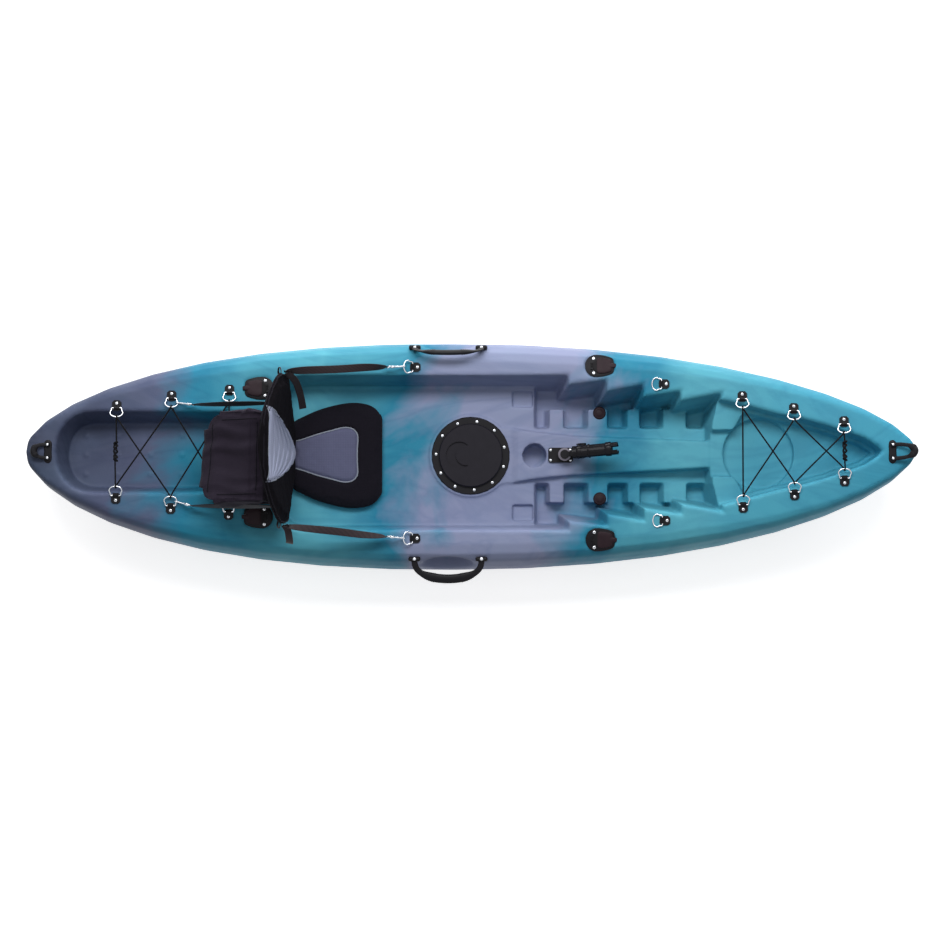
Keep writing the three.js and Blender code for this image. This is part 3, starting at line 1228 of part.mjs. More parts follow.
part("swivel_base", swivelBase(), "black");
const yawFrame = new THREE.Matrix4().makeRotationZ(swivel.heading).setPosition(swivel.x, 0, plateTopZ);
part("swivel_head", swivelHead(), "black", inFrame(yawFrame));
const tiltAxis = new THREE.Matrix4().makeTranslation(swivel.armReach, 0, swivel.tiltZ);
const tiltFrame = yawFrame.clone().multiply(tiltAxis);
part("cradle_knob", cradleKnob(), "black", inFrame(tiltFrame));
const cradleFrame = tiltFrame.clone().multiply(new THREE.Matrix4().makeRotationY(swivel.tubeTilt));
part("rod_cradle", rodCradle(), "black", inFrame(cradleFrame));

const sides = [["left", 1], ["right", -1]];
for (const [name, side] of sides) {
  const angle = side > 0 ? sideHandle.leftAngle : Math.PI - sideHandle.rightAngle;
  const at = shoulderPoint(sideHandle.x, sideHandle.shoulderShare);
  const stand = sideHandle.barrel + gap;
  const frameMatrix = new THREE.Matrix4().makeRotationX(angle);
  frameMatrix.setPosition(sideHandle.x, side * (at.y + at.outY * stand), at.z + at.outZ * stand);
  part(`side_handle_${name}`, grabHandle(sideHandle), "black", inFrame(frameMatrix));
}
for (const [name, handle, end] of [["bow_handle", bowHandle, 1], ["stern_handle", sternHandle, -1]]) {
  const frameMatrix = new THREE.Matrix4().makeRotationY(-end * handle.angle);
  frameMatrix.multiply(new THREE.Matrix4().makeRotationZ(-end * half(Math.PI)));
  const x = end * (half(hull.length) - handle.fromEnd);
  const under = [-1, 1].flatMap((along) => [-1, 1].map((aside) => deckFacetZ(
    x + along * half(handle.barrel), handle.y + aside * half(handle.span - handle.barrelLength),
  )));
  frameMatrix.setPosition(x, handle.y, Math.max(...under) + handle.barrel + gap);
  part(name, grabHandle(handle), "black", inFrame(frameMatrix));
}

const lacingFrame = (x, y) => deckMatrix(x, y, y > 0 ? Math.PI : 0);
for (const [end, pairs] of [["stern", sternEyes], ["bow", bowEyes]]) {
  pairs.forEach(([x, y], i) => sides.forEach(([name, side]) => {
    part(`${end}_eye_${i + 1}_${name}`, lacingEye(), "black", inFrame(lacingFrame(x, side * y)));
  }));
}
part("stern_bungee", shockCord(sternEyes, knotLength), "cord");
part("bow_bungee", shockCord(bowEyes, knotLength), "cord");

const loneEyes = [["strap", strapEyes, strapRingTilt], ["foot", footEyes, footRingTilt]];
for (const [place, at, ringTilt] of loneEyes) {
  for (const [name, side] of sides) {
    const frameMatrix = deckMatrix(at.x, side * at.y, half(Math.PI));
    part(`${place}_eye_${name}`, eyePlate(eye.bore), "black", inFrame(frameMatrix));
    const hinge = new THREE.Matrix4().makeTranslation(0, eye.humpY, eye.ringZ);
    hinge.multiply(new THREE.Matrix4().makeRotationX(ringTilt));
    part(`${place}_ring_${name}`, eyeRing(), "steel", inFrame(frameMatrix.clone().multiply(hinge)));
  }
}

part("seat_pad", seatPad(), "greyFabric");
const backFrame = new THREE.Matrix4().makeRotationY(back.lean).setPosition(back.hingeX, 0, back.hingeZ);
part("seat_back", seatBack(), "greyFabric", inFrame(backFrame));
part("seat_bag", seatBag(), "fabric", inFrame(backFrame));

// A point on an eye's ring, aside and out from its bar, in the eye's frame.
function onRing(aside, out, ringTilt) {
  return new THREE.Vector3(
    aside, eye.humpY + out * Math.cos(ringTilt), eye.ringZ + out * Math.sin(ringTilt),
  );
}

// A hook at a ring and the webbing from it, round any bend, to its end.
function hookedStrap(name, ring, bends, end) {
  const matrix = hookMatrix(ring, [...bends, end][0]);
  part(name.replace("_", "_hook_"), snapHook(), "steel", inFrame(matrix));
  const start = new THREE.Vector3(hook.eyeTo + hook.wire + gap, 0, 0).applyMatrix4(matrix);
  const webbingRoute = [start, ...bends, end];
  part(name.replace("_", "_strap_"), strap(webbingRoute, new THREE.Vector3(0, 0, 1)), "fabric");
}

for (const [name, side] of sides) {
  const frontRing = onRing(0, eye.ringLength - eye.wire, strapRingTilt);
  frontRing.applyMatrix4(deckMatrix(strapEyes.x, side * strapEyes.y, half(Math.PI)));
  const frontEnd = new THREE.Vector3(
    back.hingeX - pull.frontBack, side * (back.halfWidth + pull.frontOut), back.hingeZ + pull.height,
  );
  hookedStrap(`front_${name}`, frontRing, [], frontEnd);
  const [widthShare, lengthShare] = rearHookShares[name];
  const rearRing = onRing(-side * widthShare * eye.ringHalfWidth, lengthShare * eye.ringLength, eye.ringTilt);
  rearRing.applyMatrix4(lacingFrame(rearEye[0], side * rearEye[1]));
  const rearEnd = rearPull(name, side).applyMatrix4(backFrame);
  const bendX = back.hingeX - bag.length - pull.bendBehindBag;
  const bendZ = mix(rearRing.z, rearEnd.z, (bendX - rearRing.x) / (rearEnd.x - rearRing.x));
  hookedStrap(`rear_${name}`, rearRing, [new THREE.Vector3(bendX, rearEnd.y, bendZ)], rearEnd);
}

for (const [name, side] of sides) {
  const frameMatrix = new THREE.Matrix4().makeTranslation(scupper.x, side * scupper.y, 0);
  part(`scupper_plug_${name}`, scupperPlug(), "rubber", inFrame(frameMatrix));
}
const drainFrame = new THREE.Matrix4().makeTranslation(sternFlatX, 0, drain.z);
part("drain_plug", sternPlug(), "rubber", inFrame(drainFrame));

export default kayak;
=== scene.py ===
"""Looks of the fishing kayak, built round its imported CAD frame. Metres, +X to the bow, +Z up."""
import json
import math

import bmesh
import bpy
import numpy as np
from mathutils import Matrix, Vector
from mathutils.bvhtree import BVHTree
from mathutils.noise import noise


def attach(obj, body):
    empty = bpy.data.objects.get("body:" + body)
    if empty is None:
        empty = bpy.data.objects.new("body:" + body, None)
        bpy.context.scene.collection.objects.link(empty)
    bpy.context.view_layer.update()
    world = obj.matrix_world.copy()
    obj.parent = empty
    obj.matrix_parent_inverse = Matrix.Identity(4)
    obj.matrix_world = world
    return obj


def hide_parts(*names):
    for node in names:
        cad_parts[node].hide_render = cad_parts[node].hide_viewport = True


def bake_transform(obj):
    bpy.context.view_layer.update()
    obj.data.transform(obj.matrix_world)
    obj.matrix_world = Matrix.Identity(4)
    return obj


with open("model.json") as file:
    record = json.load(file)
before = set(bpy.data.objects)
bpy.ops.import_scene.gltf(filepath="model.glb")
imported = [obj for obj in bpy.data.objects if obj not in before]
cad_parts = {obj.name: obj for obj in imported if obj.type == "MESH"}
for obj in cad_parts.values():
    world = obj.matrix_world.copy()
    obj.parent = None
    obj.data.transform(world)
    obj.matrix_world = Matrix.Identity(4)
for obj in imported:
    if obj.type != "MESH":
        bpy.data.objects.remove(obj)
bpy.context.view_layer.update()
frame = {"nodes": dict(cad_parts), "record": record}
nodes = frame["nodes"]


# Small helpers

UP = Vector((0, 0, 1))


def linear(red, green, blue):
    """A colour given as 0 to 255 display values."""
    def one(value):
        value /= 255
        return value / 12.92 if value <= 0.04045 else ((value + 0.055) / 1.055) ** 2.4
    return (one(red), one(green), one(blue), 1)


def new_object(name, data, body=None):
    thing = bpy.data.objects.new(name, data)
    bpy.context.scene.collection.objects.link(thing)
    if body:
        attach(thing, body)
    return thing


def from_bmesh(name, bm, body=None, smooth=True):
    mesh = bpy.data.meshes.new(name)
    bm.to_mesh(mesh)
    bm.free()
    if smooth:
        mesh.shade_smooth()
    return new_object(name, mesh, body)


def modify(thing, kind, **values):
    """Adds a modifier to an object."""
    modifier = thing.modifiers.new(kind.lower(), kind)
    for key, value in values.items():
        setattr(modifier, key, value)
    return modifier


def apply_modifiers(thing):
    """Bakes the object's modifiers into its mesh."""
    graph = bpy.context.evaluated_depsgraph_get()
    graph.update()
    mesh = bpy.data.meshes.new_from_object(thing.evaluated_get(graph))
    thing.modifiers.clear()
    thing.data = mesh


def turns(count):
    """Angles spaced evenly round a full turn."""
    return np.linspace(0, 2 * math.pi, count, endpoint=False)


def circle(radius, sides=12):
    return [(radius * math.cos(a), radius * math.sin(a)) for a in turns(sides)]


def loft(places, closed=False):
    """A bmesh over rings of places, with its ends capped or its last ring joined to the first."""
    bm = bmesh.new()
    rings = [[bm.verts.new(place) for place in ring] for ring in places]
    count = len(rings[0])
    for low, high in zip(rings, rings[1:] + (rings[:1] if closed else [])):
        for k in range(count):
            after = (k + 1) % count
            bm.faces.new((low[k], low[after], high[after], high[k]))
    if not closed:
        bm.faces.new(rings[0][::-1])
        bm.faces.new(rings[-1])
    bmesh.ops.recalc_face_normals(bm, faces=bm.faces)
    return bm


def socket_name(key):
    return key.replace("_", " ").title().replace("Ior", "IOR")


class Nodes:
    """Short calls for the nodes of one tree."""

    def __init__(self, tree):
        self.tree = tree

    def feed(self, socket, value):
        """Links a socket to another one, or gives it a plain value."""
        if isinstance(value, bpy.types.NodeSocket):
            self.tree.links.new(value, socket)
        else:
            socket.default_value = value

    def add(self, kind, **values):
        node = self.tree.nodes.new("ShaderNode" + kind)
        for key, value in values.items():
            if hasattr(node, key):
                setattr(node, key, value)
            else:
                self.feed(node.inputs[socket_name(key)], value)
        return node

    def maths(self, operation, first, second):
        node = self.add("Math", operation=operation)
        self.feed(node.inputs[0], first)
        self.feed(node.inputs[1], second)
        return node.outputs[0]

    def between(self, value, low, high):
        """Maps 0 to 1 onto low to high."""
        return self.add("MapRange", Value=value, To_Min=low, To_Max=high).outputs[0]


class Shader(Nodes):
    """The node tree of a new material."""

    def __init__(self, name):
        self.material = bpy.data.materials.new(name)
        self.material.use_nodes = True
        super().__init__(self.material.node_tree)
        self.tree.nodes.clear()
        output = self.add("OutputMaterial")
        self.bsdf = self.add("BsdfPrincipled")
        self.feed(output.inputs[0], self.bsdf.outputs[0])
        self.place = self.add("TexCoord").outputs["Object"]

    def set(self, **values):
        for key, value in values.items():
            self.feed(self.bsdf.inputs[socket_name(key)], value)

    def noise(self, scale, detail=3, distortion=0, source=None):
        return self.add("TexNoise", Scale=scale, Detail=detail, Distortion=distortion,
                        Vector=source or self.place).outputs["Fac"]

    def ramp(self, factor, *stops):
        node = self.add("ValToRGB")
        self.feed(node.inputs[0], factor)
        while len(node.color_ramp.elements) < len(stops):
            node.color_ramp.elements.new(0.5)
        for element, (position, colour) in zip(node.color_ramp.elements, stops):
            element.position = position
            element.color = colour
        return node.outputs[0]

    def mix(self, factor, first, second, kind="MIX"):
        node = self.add("Mix", data_type="RGBA", blend_type=kind)
        for number, value in ((0, factor), (6, first), (7, second)):
            self.feed(node.inputs[number], value)
        return node.outputs[2]

    def bump(self, height, strength, distance):
        node = self.add("Bump", Strength=strength, Distance=distance, Height=height)
        self.set(normal=node.outputs[0])


# Materials

BAND_HALF = 1.475  # half of the length over which the hull's colour bands are spread


def hull_material():
    """Moulded polyethylene whose teal and grey powders ran into each other in bands along the hull."""
    s = Shader("moulded_plastic")
    split = s.add("SeparateXYZ", Vector=s.place)

    def waver(scale, detail, distortion, weight):
        cloud = s.noise(scale, detail, distortion)
        return s.maths("MULTIPLY", s.maths("SUBTRACT", cloud, 0.5), weight)

    def at(x):
        return (x + BAND_HALF) / (2 * BAND_HALF)
    shift = s.maths("ADD", waver(1.7, 4, 1.6, 0.6), waver(7.5, 5, 0.8, 0.16))
    tilt = s.maths("MULTIPLY", split.outputs[1], -0.16)
    along = s.maths("ADD", s.maths("ADD", split.outputs[0], shift), tilt)
    share = s.maths("DIVIDE", s.maths("ADD", along, BAND_HALF), 2 * BAND_HALF)
    stern, grey = linear(84, 85, 114), linear(138, 142, 173)
    teal, bright = linear(26, 124, 154), linear(84, 166, 184)
    bands = s.ramp(
        share, (0, linear(52, 50, 70)), (at(-1.32), linear(66, 66, 90)), (at(-1.08), stern), (at(-0.9), teal),
        (at(-0.55), bright), (at(-0.24), teal), (at(-0.1), grey), (at(0.3), grey), (at(0.46), teal),
        (at(0.72), bright), (1, linear(48, 146, 176)),
    )
    clouds = s.between(s.noise(4.2, detail=4, distortion=0.5), 0, 0.14)
    soft = s.mix(clouds, bands, linear(140, 186, 206))
    stretched = s.add("Mapping", Scale=(0.55, 1.5, 1), Vector=s.place).outputs[0]
    veins = s.noise(2.6, detail=6, distortion=2.6, source=stretched)
    white = (1, 1, 1, 1)
    dark = s.ramp(veins, (0.42, white), (0.5, (0.83, 0.86, 0.9, 1)), (0.58, white))
    s.set(base_color=s.mix(0.8, soft, dark, "MULTIPLY"), specular_ior_level=0.09,
          roughness=s.between(s.noise(11), 0.38, 0.56))
    peel = s.maths("ADD", s.noise(190, detail=2), s.maths("MULTIPLY", s.noise(34, detail=2), 1.4))
    s.bump(peel, 0.12, 0.002)
    return s.material


def plastic_material(name, colour, roughness=0.42, grain=260):
    """Moulded black plastic with a fine spark texture and slightly dusty patches."""
    s = Shader(name)
    dusty = tuple(c * 1.8 + 0.004 for c in colour[:3]) + (1,)
    s.set(base_color=s.mix(s.between(s.noise(38), 0, 0.5), colour, dusty), specular_ior_level=0.12,
          roughness=s.between(s.noise(24), roughness - 0.08, roughness + 0.1))
    s.bump(s.noise(grain), 0.2, 0.0006)
    return s.material


def metal_material():
    """Bright wire, lightly drawn and tarnished."""
    s = Shader("bright_wire")
    tarnish = s.mix(s.between(s.noise(90), 0, 1), linear(222, 224, 228), linear(176, 178, 182))
    s.set(metallic=1, base_color=tarnish, roughness=s.between(s.noise(160), 0.16, 0.34))
    s.bump(s.noise(400, detail=1), 0.03, 0.0002)
    return s.material


def waves(s, scale, distortion, direction):
    return s.add("TexWave", Scale=scale, Distortion=distortion, Detail=1, bands_direction=direction,
                 Vector=s.place).outputs["Fac"]


def cloth_material(name, colour, weave=900, roughness=0.88, streak=0.35, sheen=0.06):
    """Plain woven cloth: crossing threads, uneven dye and a soft sheen."""
    s = Shader(name)
    threads = s.maths("MULTIPLY", waves(s, weave / 20, 0.6, "X"), waves(s, weave / 20, 0.6, "Y"))
    lighter = tuple(min(1, c * 1.5 + 0.002) for c in colour[:3]) + (1,)
    uneven = s.mix(s.between(s.noise(16, detail=5), 0, streak), colour, lighter)
    s.set(base_color=s.mix(s.between(threads, 0, 0.45), uneven, lighter), roughness=roughness,
          sheen_weight=sheen, sheen_roughness=0.45, specular_ior_level=0.05)
    s.bump(s.maths("ADD", threads, s.maths("MULTIPLY", s.noise(60, detail=4), 1.2)), 0.45, 0.0008)
    return s.material


def webbing_material(name, dark, pale):
    """Nylon webbing: a close herringbone with a faint shine."""
    s = Shader(name)
    ribs = waves(s, 55, 1.2, "DIAGONAL")
    s.set(base_color=s.mix(s.between(ribs, 0, 0.6), dark, pale), roughness=0.62, sheen_weight=0.12,
          specular_ior_level=0.2)
    s.bump(ribs, 0.4, 0.0006)
    return s.material


hull_plastic = hull_material()
black_plastic = plastic_material("black_plastic", linear(14, 13, 17))
gloss_plastic = plastic_material("lid_plastic", linear(20, 18, 25), roughness=0.45, grain=120)
rubber = plastic_material("rubber", linear(20, 19, 21), roughness=0.66, grain=420)
cap_rubber = plastic_material("cap_rubber", linear(34, 22, 27), roughness=0.48, grain=300)
shiny_plastic = plastic_material("swivel_plastic", linear(16, 15, 19), roughness=0.2, grain=60)
grey_plastic = plastic_material("grey_plastic", linear(112, 108, 118), roughness=0.4)
steel = metal_material()
seat_cloth = cloth_material("seat_cloth", linear(22, 20, 27), weave=1300)
# painted shade: the backrest's black cloth is a darker copy of the seat cloth, to offset the lamp light its
# face catches
shaded_back_cloth = cloth_material("shaded_back_cloth", linear(10, 8, 12), weave=1300, sheen=0.0)
grey_cloth = cloth_material("grey_cloth", linear(86, 88, 112), weave=1100)
# the channelled panel's cloth: a paler copy of the grey cloth, partly its own paler fabric and partly painted
# highlight
paler_lit_rib_cloth = cloth_material("paler_lit_rib_cloth", linear(140, 145, 167), weave=1100)
piping_cloth = cloth_material("piping_cloth", linear(132, 138, 150), weave=1500)
bag_cloth = cloth_material("bag_cloth", linear(38, 33, 43), weave=1000, streak=0.6)
webbing = webbing_material("webbing", linear(22, 21, 26), linear(52, 50, 58))
brown_webbing = webbing_material("brown_webbing", linear(27, 17, 21), linear(44, 31, 35))
cord_cloth = cloth_material("braided_cord", linear(20, 20, 23), weave=2400, roughness=0.8)

FINISHES = {
    "hull_plastic": hull_plastic, "black_plastic": black_plastic, "rubber": rubber, "steel": steel,
    "black_fabric": webbing, "grey_fabric": grey_cloth, "cord": cord_cloth,
}
# the slot of the record that each finish belongs to
CAD_CREASE = math.radians(32)  # a CAD edge that bends more than this stays sharp or gets its bevel

slot_of = {part["node"]: part["material_slot"] for part in frame["record"]["subparts"]}
for name, node in nodes.items():
    node.data.materials.clear()
    node.data.materials.append(FINISHES[slot_of[name]])
    node.data.shade_smooth()
    node.data.set_sharp_from_angle(angle=CAD_CREASE)
    if slot_of[name] in ("black_plastic", "rubber"):
        modify(node, "BEVEL", width=0.0007, segments=2, limit_method="ANGLE", angle_limit=CAD_CREASE)
nodes["hatch_lid"].data.materials[0] = gloss_plastic
for name in ("swivel_head", "rod_cradle", "cradle_knob"):
    nodes[name].data.materials[0] = shiny_plastic


def dressed(thing, finish, crease=None):
    """Gives a piece its finish, and sharp edges where it bends more than crease degrees."""
    if crease:
        thing.data.set_sharp_from_angle(angle=math.radians(crease))
    thing.data.materials.append(finish)
    return thing


# Smooth curves and outlines

def smooth_route(points, per=8, closed=False):
    """A Catmull-Rom curve through points."""
    pts = [Vector(p) for p in points]
    n = len(pts)
    out = []
    for i in range(n if closed else n - 1):
        near = [(i + k) % n if closed else min(max(i + k, 0), n - 1) for k in (-1, 0, 1, 2)]
        a, b, c, d = (pts[k] for k in near)
        for k in range(per):
            t = k / per
            out.append(0.5 * (2 * b + (c - a) * t + (2 * a - 5 * b + 4 * c - d) * t ** 2
                              + (3 * b - a - 3 * c + d) * t ** 3))
    if not closed:
        out.append(pts[-1])
    return out


def closed_outline(half_points, count):
    """A closed smooth outline from its port half, as count points spaced evenly."""
    port = [Vector((x, y, 0)) for x, y in half_points]
    starboard = [Vector((p.x, -p.y, 0)) for p in port[-2:0:-1]]
    route = smooth_route(port + starboard, 24, closed=True)
    lengths = [0]
    for a, b in zip(route, route[1:] + route[:1]):
        lengths.append(lengths[-1] + (b - a).length)
    route.append(route[0])
    marks = np.linspace(0, lengths[-1], count, endpoint=False)
    xs = np.interp(marks, lengths, [p.x for p in route])
    ys = np.interp(marks, lengths, [p.y for p in route])
    return list(zip(xs, ys))


# The moulded hull: the skin of the CAD hull with the soft edges that moulding leaves

PLATE = closed_outline([
    (-0.0495, 0), (-0.048, 0.013), (-0.038, 0.029), (-0.021, 0.0375), (0, 0.038), (0.022, 0.034),
    (0.038, 0.028), (0.044, 0.022), (0.0465, 0.012), (0.047, 0),
], 96)

HATCH = (0.002, 0)
DRAIN_HEIGHT = 0.238
TUBE_DEPTH = 0.150  # from the frame of a rod holder down to the end of its tube
SIDES = (("left", 1), ("right", -1))
HOLDERS = [
    # name, place in plan, tilt and turn of each flush rod holder's plate
    (f"rod_holder_{end}_{side}", x, sign * y, -sign * tilt, turn)
    for end, x, y, tilt, turn in (("front", 0.4325, 0.289, 0.17, 0), ("rear", -0.7015, 0.2135, 0.06, math.pi))
    for side, sign in SIDES
]


def holder_frame(name, x, y, tilt, turn):
    """The frame of a flush rod holder, in the plane of its plate, set by the low end of its tube."""
    turned = Matrix.Rotation(tilt, 4, "X") @ Matrix.Rotation(turn, 4, "Z")
    normal = turned.to_3x3() @ UP
    plan = Vector((x, y, 0))
    lowest = min((v.co - plan).dot(normal) for v in nodes[name].data.vertices)
    return Matrix.Translation(plan + Vector((0, 0, (lowest + TUBE_DEPTH) / normal.z))) @ turned


HOLDER_FRAMES = {holder[0]: holder_frame(*holder) for holder in HOLDERS}


def outer_skin():
    """The outside of the CAD hull as one closed body, without its inner skin."""
    bm = bmesh.new()
    bm.from_mesh(nodes["hull"].data)
    bmesh.ops.remove_doubles(bm, verts=bm.verts, dist=2e-5)

    def on_bore(x, y, radius, slant):
        return abs(math.hypot(x, y) - radius) < 0.0012 and abs(slant) < 0.2

    def on_hole(face):
        """Whether a face lines the hole of the hatch, the drain or a rod holder."""
        c, n = face.calc_center_median(), face.normal
        if on_bore(c.x - HATCH[0], c.y, 0.0995, n.z) and 0.15 < c.z < 0.175:
            return True
        if on_bore(c.y, c.z - DRAIN_HEIGHT, 0.0093, n.x) and c.x < -1.44:
            return True
        for matrix in HOLDER_FRAMES.values():
            p = matrix.inverted() @ c
            m = matrix.to_3x3().inverted() @ n
            if on_bore(p.x, p.y, 0.0240, m.z) and -0.02 < p.z < 0.01:
                return True
        return False
    bmesh.ops.delete(bm, geom=[f for f in bm.faces if on_hole(f)], context="FACES")
    start = max(bm.verts, key=lambda v: v.co.x)
    keep = {start}
    queue = [start]
    while queue:
        for edge in queue.pop().link_edges:
            fresh = [v for v in edge.verts if v not in keep]
            keep.update(fresh)
            queue.extend(fresh)
    bmesh.ops.delete(bm, geom=[v for v in bm.verts if v not in keep], context="VERTS")
    bmesh.ops.holes_fill(bm, edges=[e for e in bm.edges if e.is_boundary], sides=0)
    bmesh.ops.recalc_face_normals(bm, faces=bm.faces)
    return bm


def cut(thing, tool):
    """Takes a bmesh's solid away from an object."""
    bmesh.ops.recalc_face_normals(tool, faces=tool.faces)
    cutter = from_bmesh("cutter", tool, smooth=False)
    modify(thing, "BOOLEAN", operation="DIFFERENCE", solver="EXACT", object=cutter)
    apply_modifiers(thing)
    bpy.data.objects.remove(cutter)


def hatch_well():
    """The room for the hatch in its boss."""
    low, top, radius = 0.04, 0.2, 0.1
    bm = bmesh.new()
    bmesh.ops.create_cone(bm, cap_ends=True, segments=64, radius1=radius, radius2=radius, depth=top - low)
    bmesh.ops.translate(bm, verts=bm.verts, vec=(*HATCH, (low + top) / 2))
    return bm


def tube_pocket(matrix):
    """The room for a rod holder's tube, which slants below the bend near its plate."""
    radius, bend, slant = 0.0252, -0.014, 0.21
    return loft([[matrix @ Vector((slant * min(0, z - bend) + x, y, z)) for x, y in circle(radius, 32)]
                 for z in (-0.158, bend, 0.012)])


def plate_pocket(matrix):
    """The room for a rod holder's plate in the gunwale."""
    wider = 1.06
    return loft([[matrix @ Vector((x * wider, y * wider, z)) for x, y in PLATE] for z in (0.001, 0.04)])


def places_of(thing):
    return np.array([v.co for v in thing.data.vertices])


def fair_edge(thing):
    """Smooths the outer edge of the hull along its length, but not round the drain plug."""
    places = places_of(thing)
    stern, step = -1.5, 0.02
    bins = ((places[:, 0] - stern) / step).astype(int)
    beam = np.zeros(bins.max() + 2)
    np.maximum.at(beam, bins, np.abs(places[:, 1]))
    inboard = beam[bins] - np.abs(places[:, 1])
    weight = np.clip((0.040 - inboard) / 0.015, 0, 1)
    low = (places[:, 2] < 0.3).astype(float)
    weight = np.where(np.abs(places[:, 0]) > 1.40, np.maximum(weight, low), weight)
    from_plug = np.linalg.norm(places - np.array([-1.468, 0, DRAIN_HEIGHT]), axis=1)
    weight *= np.clip((from_plug - 0.022) / 0.02, 0, 1)
    group = thing.vertex_groups.new(name="edge")
    for level in range(1, 11):
        chosen = np.nonzero(np.round(weight * 10).astype(int) == level)[0].tolist()
        if chosen:
            group.add(chosen, level / 10, "REPLACE")
    modify(thing, "SMOOTH", factor=0.6, iterations=50, vertex_group="edge")
    apply_modifiers(thing)
    thing.vertex_groups.clear()


def moulded_hull():
    thing = from_bmesh("hull_shell", outer_skin())
    cut(thing, hatch_well())
    for matrix in HOLDER_FRAMES.values():
        cut(thing, tube_pocket(matrix))
        cut(thing, plate_pocket(matrix))
    modify(thing, "REMESH", mode="VOXEL", voxel_size=0.004)
    modify(thing, "SMOOTH", factor=0.5, iterations=7)
    apply_modifiers(thing)
    fair_edge(thing)
    thing.data.shade_smooth()
    thing.data.materials.clear()
    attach(thing, "hull")
    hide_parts("hull")
    return dressed(thing, hull_plastic)


hull_shell = moulded_hull()


# Shapes shared by the soft pieces and the fine fittings

BACK = Matrix.Translation((-0.592, 0, 0.208)) @ Matrix.Rotation(-0.19, 4, "Y")  # the foot of the backrest
BACK_TURN = BACK.to_3x3()
TO_BACK = BACK.inverted()
CLOTH_STEPS = 20
CLOTH_VOXEL = 0.005


def sweep(name, points, section, body, finish, closed=False, across=None, twist=None):
    """Carries a section of (across, up) pairs along a route. Section and twist may go by share of the way."""
    n = len(points)
    side = Vector(across or (0, 0, 1))
    rings = []
    for i, p in enumerate(points):
        before = points[i - 1] if closed or i else p
        after = points[(i + 1) % n] if closed or i < n - 1 else p
        along = (after - before).normalized()
        side = (side - along * side.dot(along)).normalized()
        share = i / (n - 1)
        turned = Matrix.Rotation(twist(share), 3, along) @ side if twist else side
        other = along.cross(turned)
        shape = section(share) if callable(section) else section
        rings.append([p + turned * a + other * b for a, b in shape])
    return dressed(from_bmesh(name, loft(rings, closed), body), finish)


def flat_section(width, thick):
    """The section of webbing, with round selvedges and a faint rib along each."""
    w, t = width / 2, thick / 2
    port = [(w - t, t * 1.15), (w, t * 0.5), (w, -t * 0.5), (w - t, -t * 1.15), (w - 3 * t, -t * 0.8)]
    return port + [(-a, -b) for a, b in port]


def inflate(thing, cap, pressure=4.0):
    """Remeshes a padded piece and lets its cover swell, each point by no more than cap."""
    modify(thing, "REMESH", mode="VOXEL", voxel_size=CLOTH_VOXEL * 1)
    apply_modifiers(thing)
    start = places_of(thing)
    cloth = modify(thing, "CLOTH")
    settings = cloth.settings
    settings.quality = 5
    settings.mass = 0.25
    settings.bending_stiffness = 1.2
    settings.use_pressure = True
    settings.uniform_pressure_force = pressure
    settings.effector_weights.gravity = 0
    cloth.point_cache.frame_end = CLOTH_STEPS
    for step in range(1, CLOTH_STEPS + 1):
        bpy.context.scene.frame_set(step)
    apply_modifiers(thing)
    bpy.context.scene.frame_set(1)
    moved = places_of(thing) - start
    far = np.linalg.norm(moved, axis=1)
    moved *= (np.minimum(far, cap) / np.maximum(far, 1e-9))[:, None]
    thing.data.vertices.foreach_set("co", (start + moved).ravel())
    modify(thing, "SUBSURF", levels=1, render_levels=1)
    apply_modifiers(thing)
    thing.data.shade_smooth()
    return thing


def shape_points(thing, move):
    """Moves each point of a mesh by what move(place, normal) gives."""
    mesh = thing.data
    places = [v.co.copy() for v in mesh.vertices]
    normals = [v.normal.copy() for v in mesh.vertices]
    for vertex, place, normal in zip(mesh.vertices, places, normals):
        vertex.co = place + move(place, normal)
    mesh.update()


def paint_faces(thing, finishes, choose):
    """Gives each face the finish whose number choose(centre, normal) returns."""
    thing.data.materials.clear()
    for finish in finishes:
        thing.data.materials.append(finish)
    for face in thing.data.polygons:
        face.material_index = choose(face.center, face.normal)


def soft_piece(thing, body, node):
    """Puts a padded piece on its body in the place of a CAD node."""
    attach(thing, body)
    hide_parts(node)


SURFACES = {}
SEAM_LIFT = 0.0005
PIPING_LIFT = 0.0008


def surface(thing):
    """The piece's faces as they are at the first call, for rays to be cast at."""
    if thing.name not in SURFACES:
        mesh = thing.data
        SURFACES[thing.name] = BVHTree.FromPolygons(
            [v.co.copy() for v in mesh.vertices], [tuple(face.vertices) for face in mesh.polygons])
    return SURFACES[thing.name]


def laid_on(thing, starts, direction, lift):
    """The points where rays from the starts meet the piece, lifted off it."""
    hits = [surface(thing).ray_cast(Vector(start), Vector(direction)) for start in starts]
    return [place + normal * lift for place, normal, _, _ in hits if place]


def nearest_on(thing, point, lift):
    """The point of the piece's surface nearest to a point, lifted off it."""
    place, normal, _, _ = surface(thing).find_nearest(point)
    return place + normal * lift


def inside(outline, x, y):
    """Whether a point lies within a closed outline."""
    odd = False
    for (x0, y0), (x1, y1) in zip(outline, outline[1:] + outline[:1]):
        if (y0 > y) != (y1 > y) and x < x0 + (x1 - x0) * (y - y0) / (y1 - y0):
            odd = not odd
    return odd


def distance_to(outline, x, y):
    """The distance from a point to a closed outline."""
    pts = np.array(outline)
    ends = np.roll(pts, -1, axis=0)
    along = ends - pts
    t = np.clip(((x - pts[:, 0]) * along[:, 0] + (y - pts[:, 1]) * along[:, 1])
                / np.maximum((along ** 2).sum(1), 1e-12), 0, 1)
    near = pts + along * t[:, None]
    return float(np.hypot(near[:, 0] - x, near[:, 1] - y).min())


# Seat pad: black rim, grey centre panel with pale piping

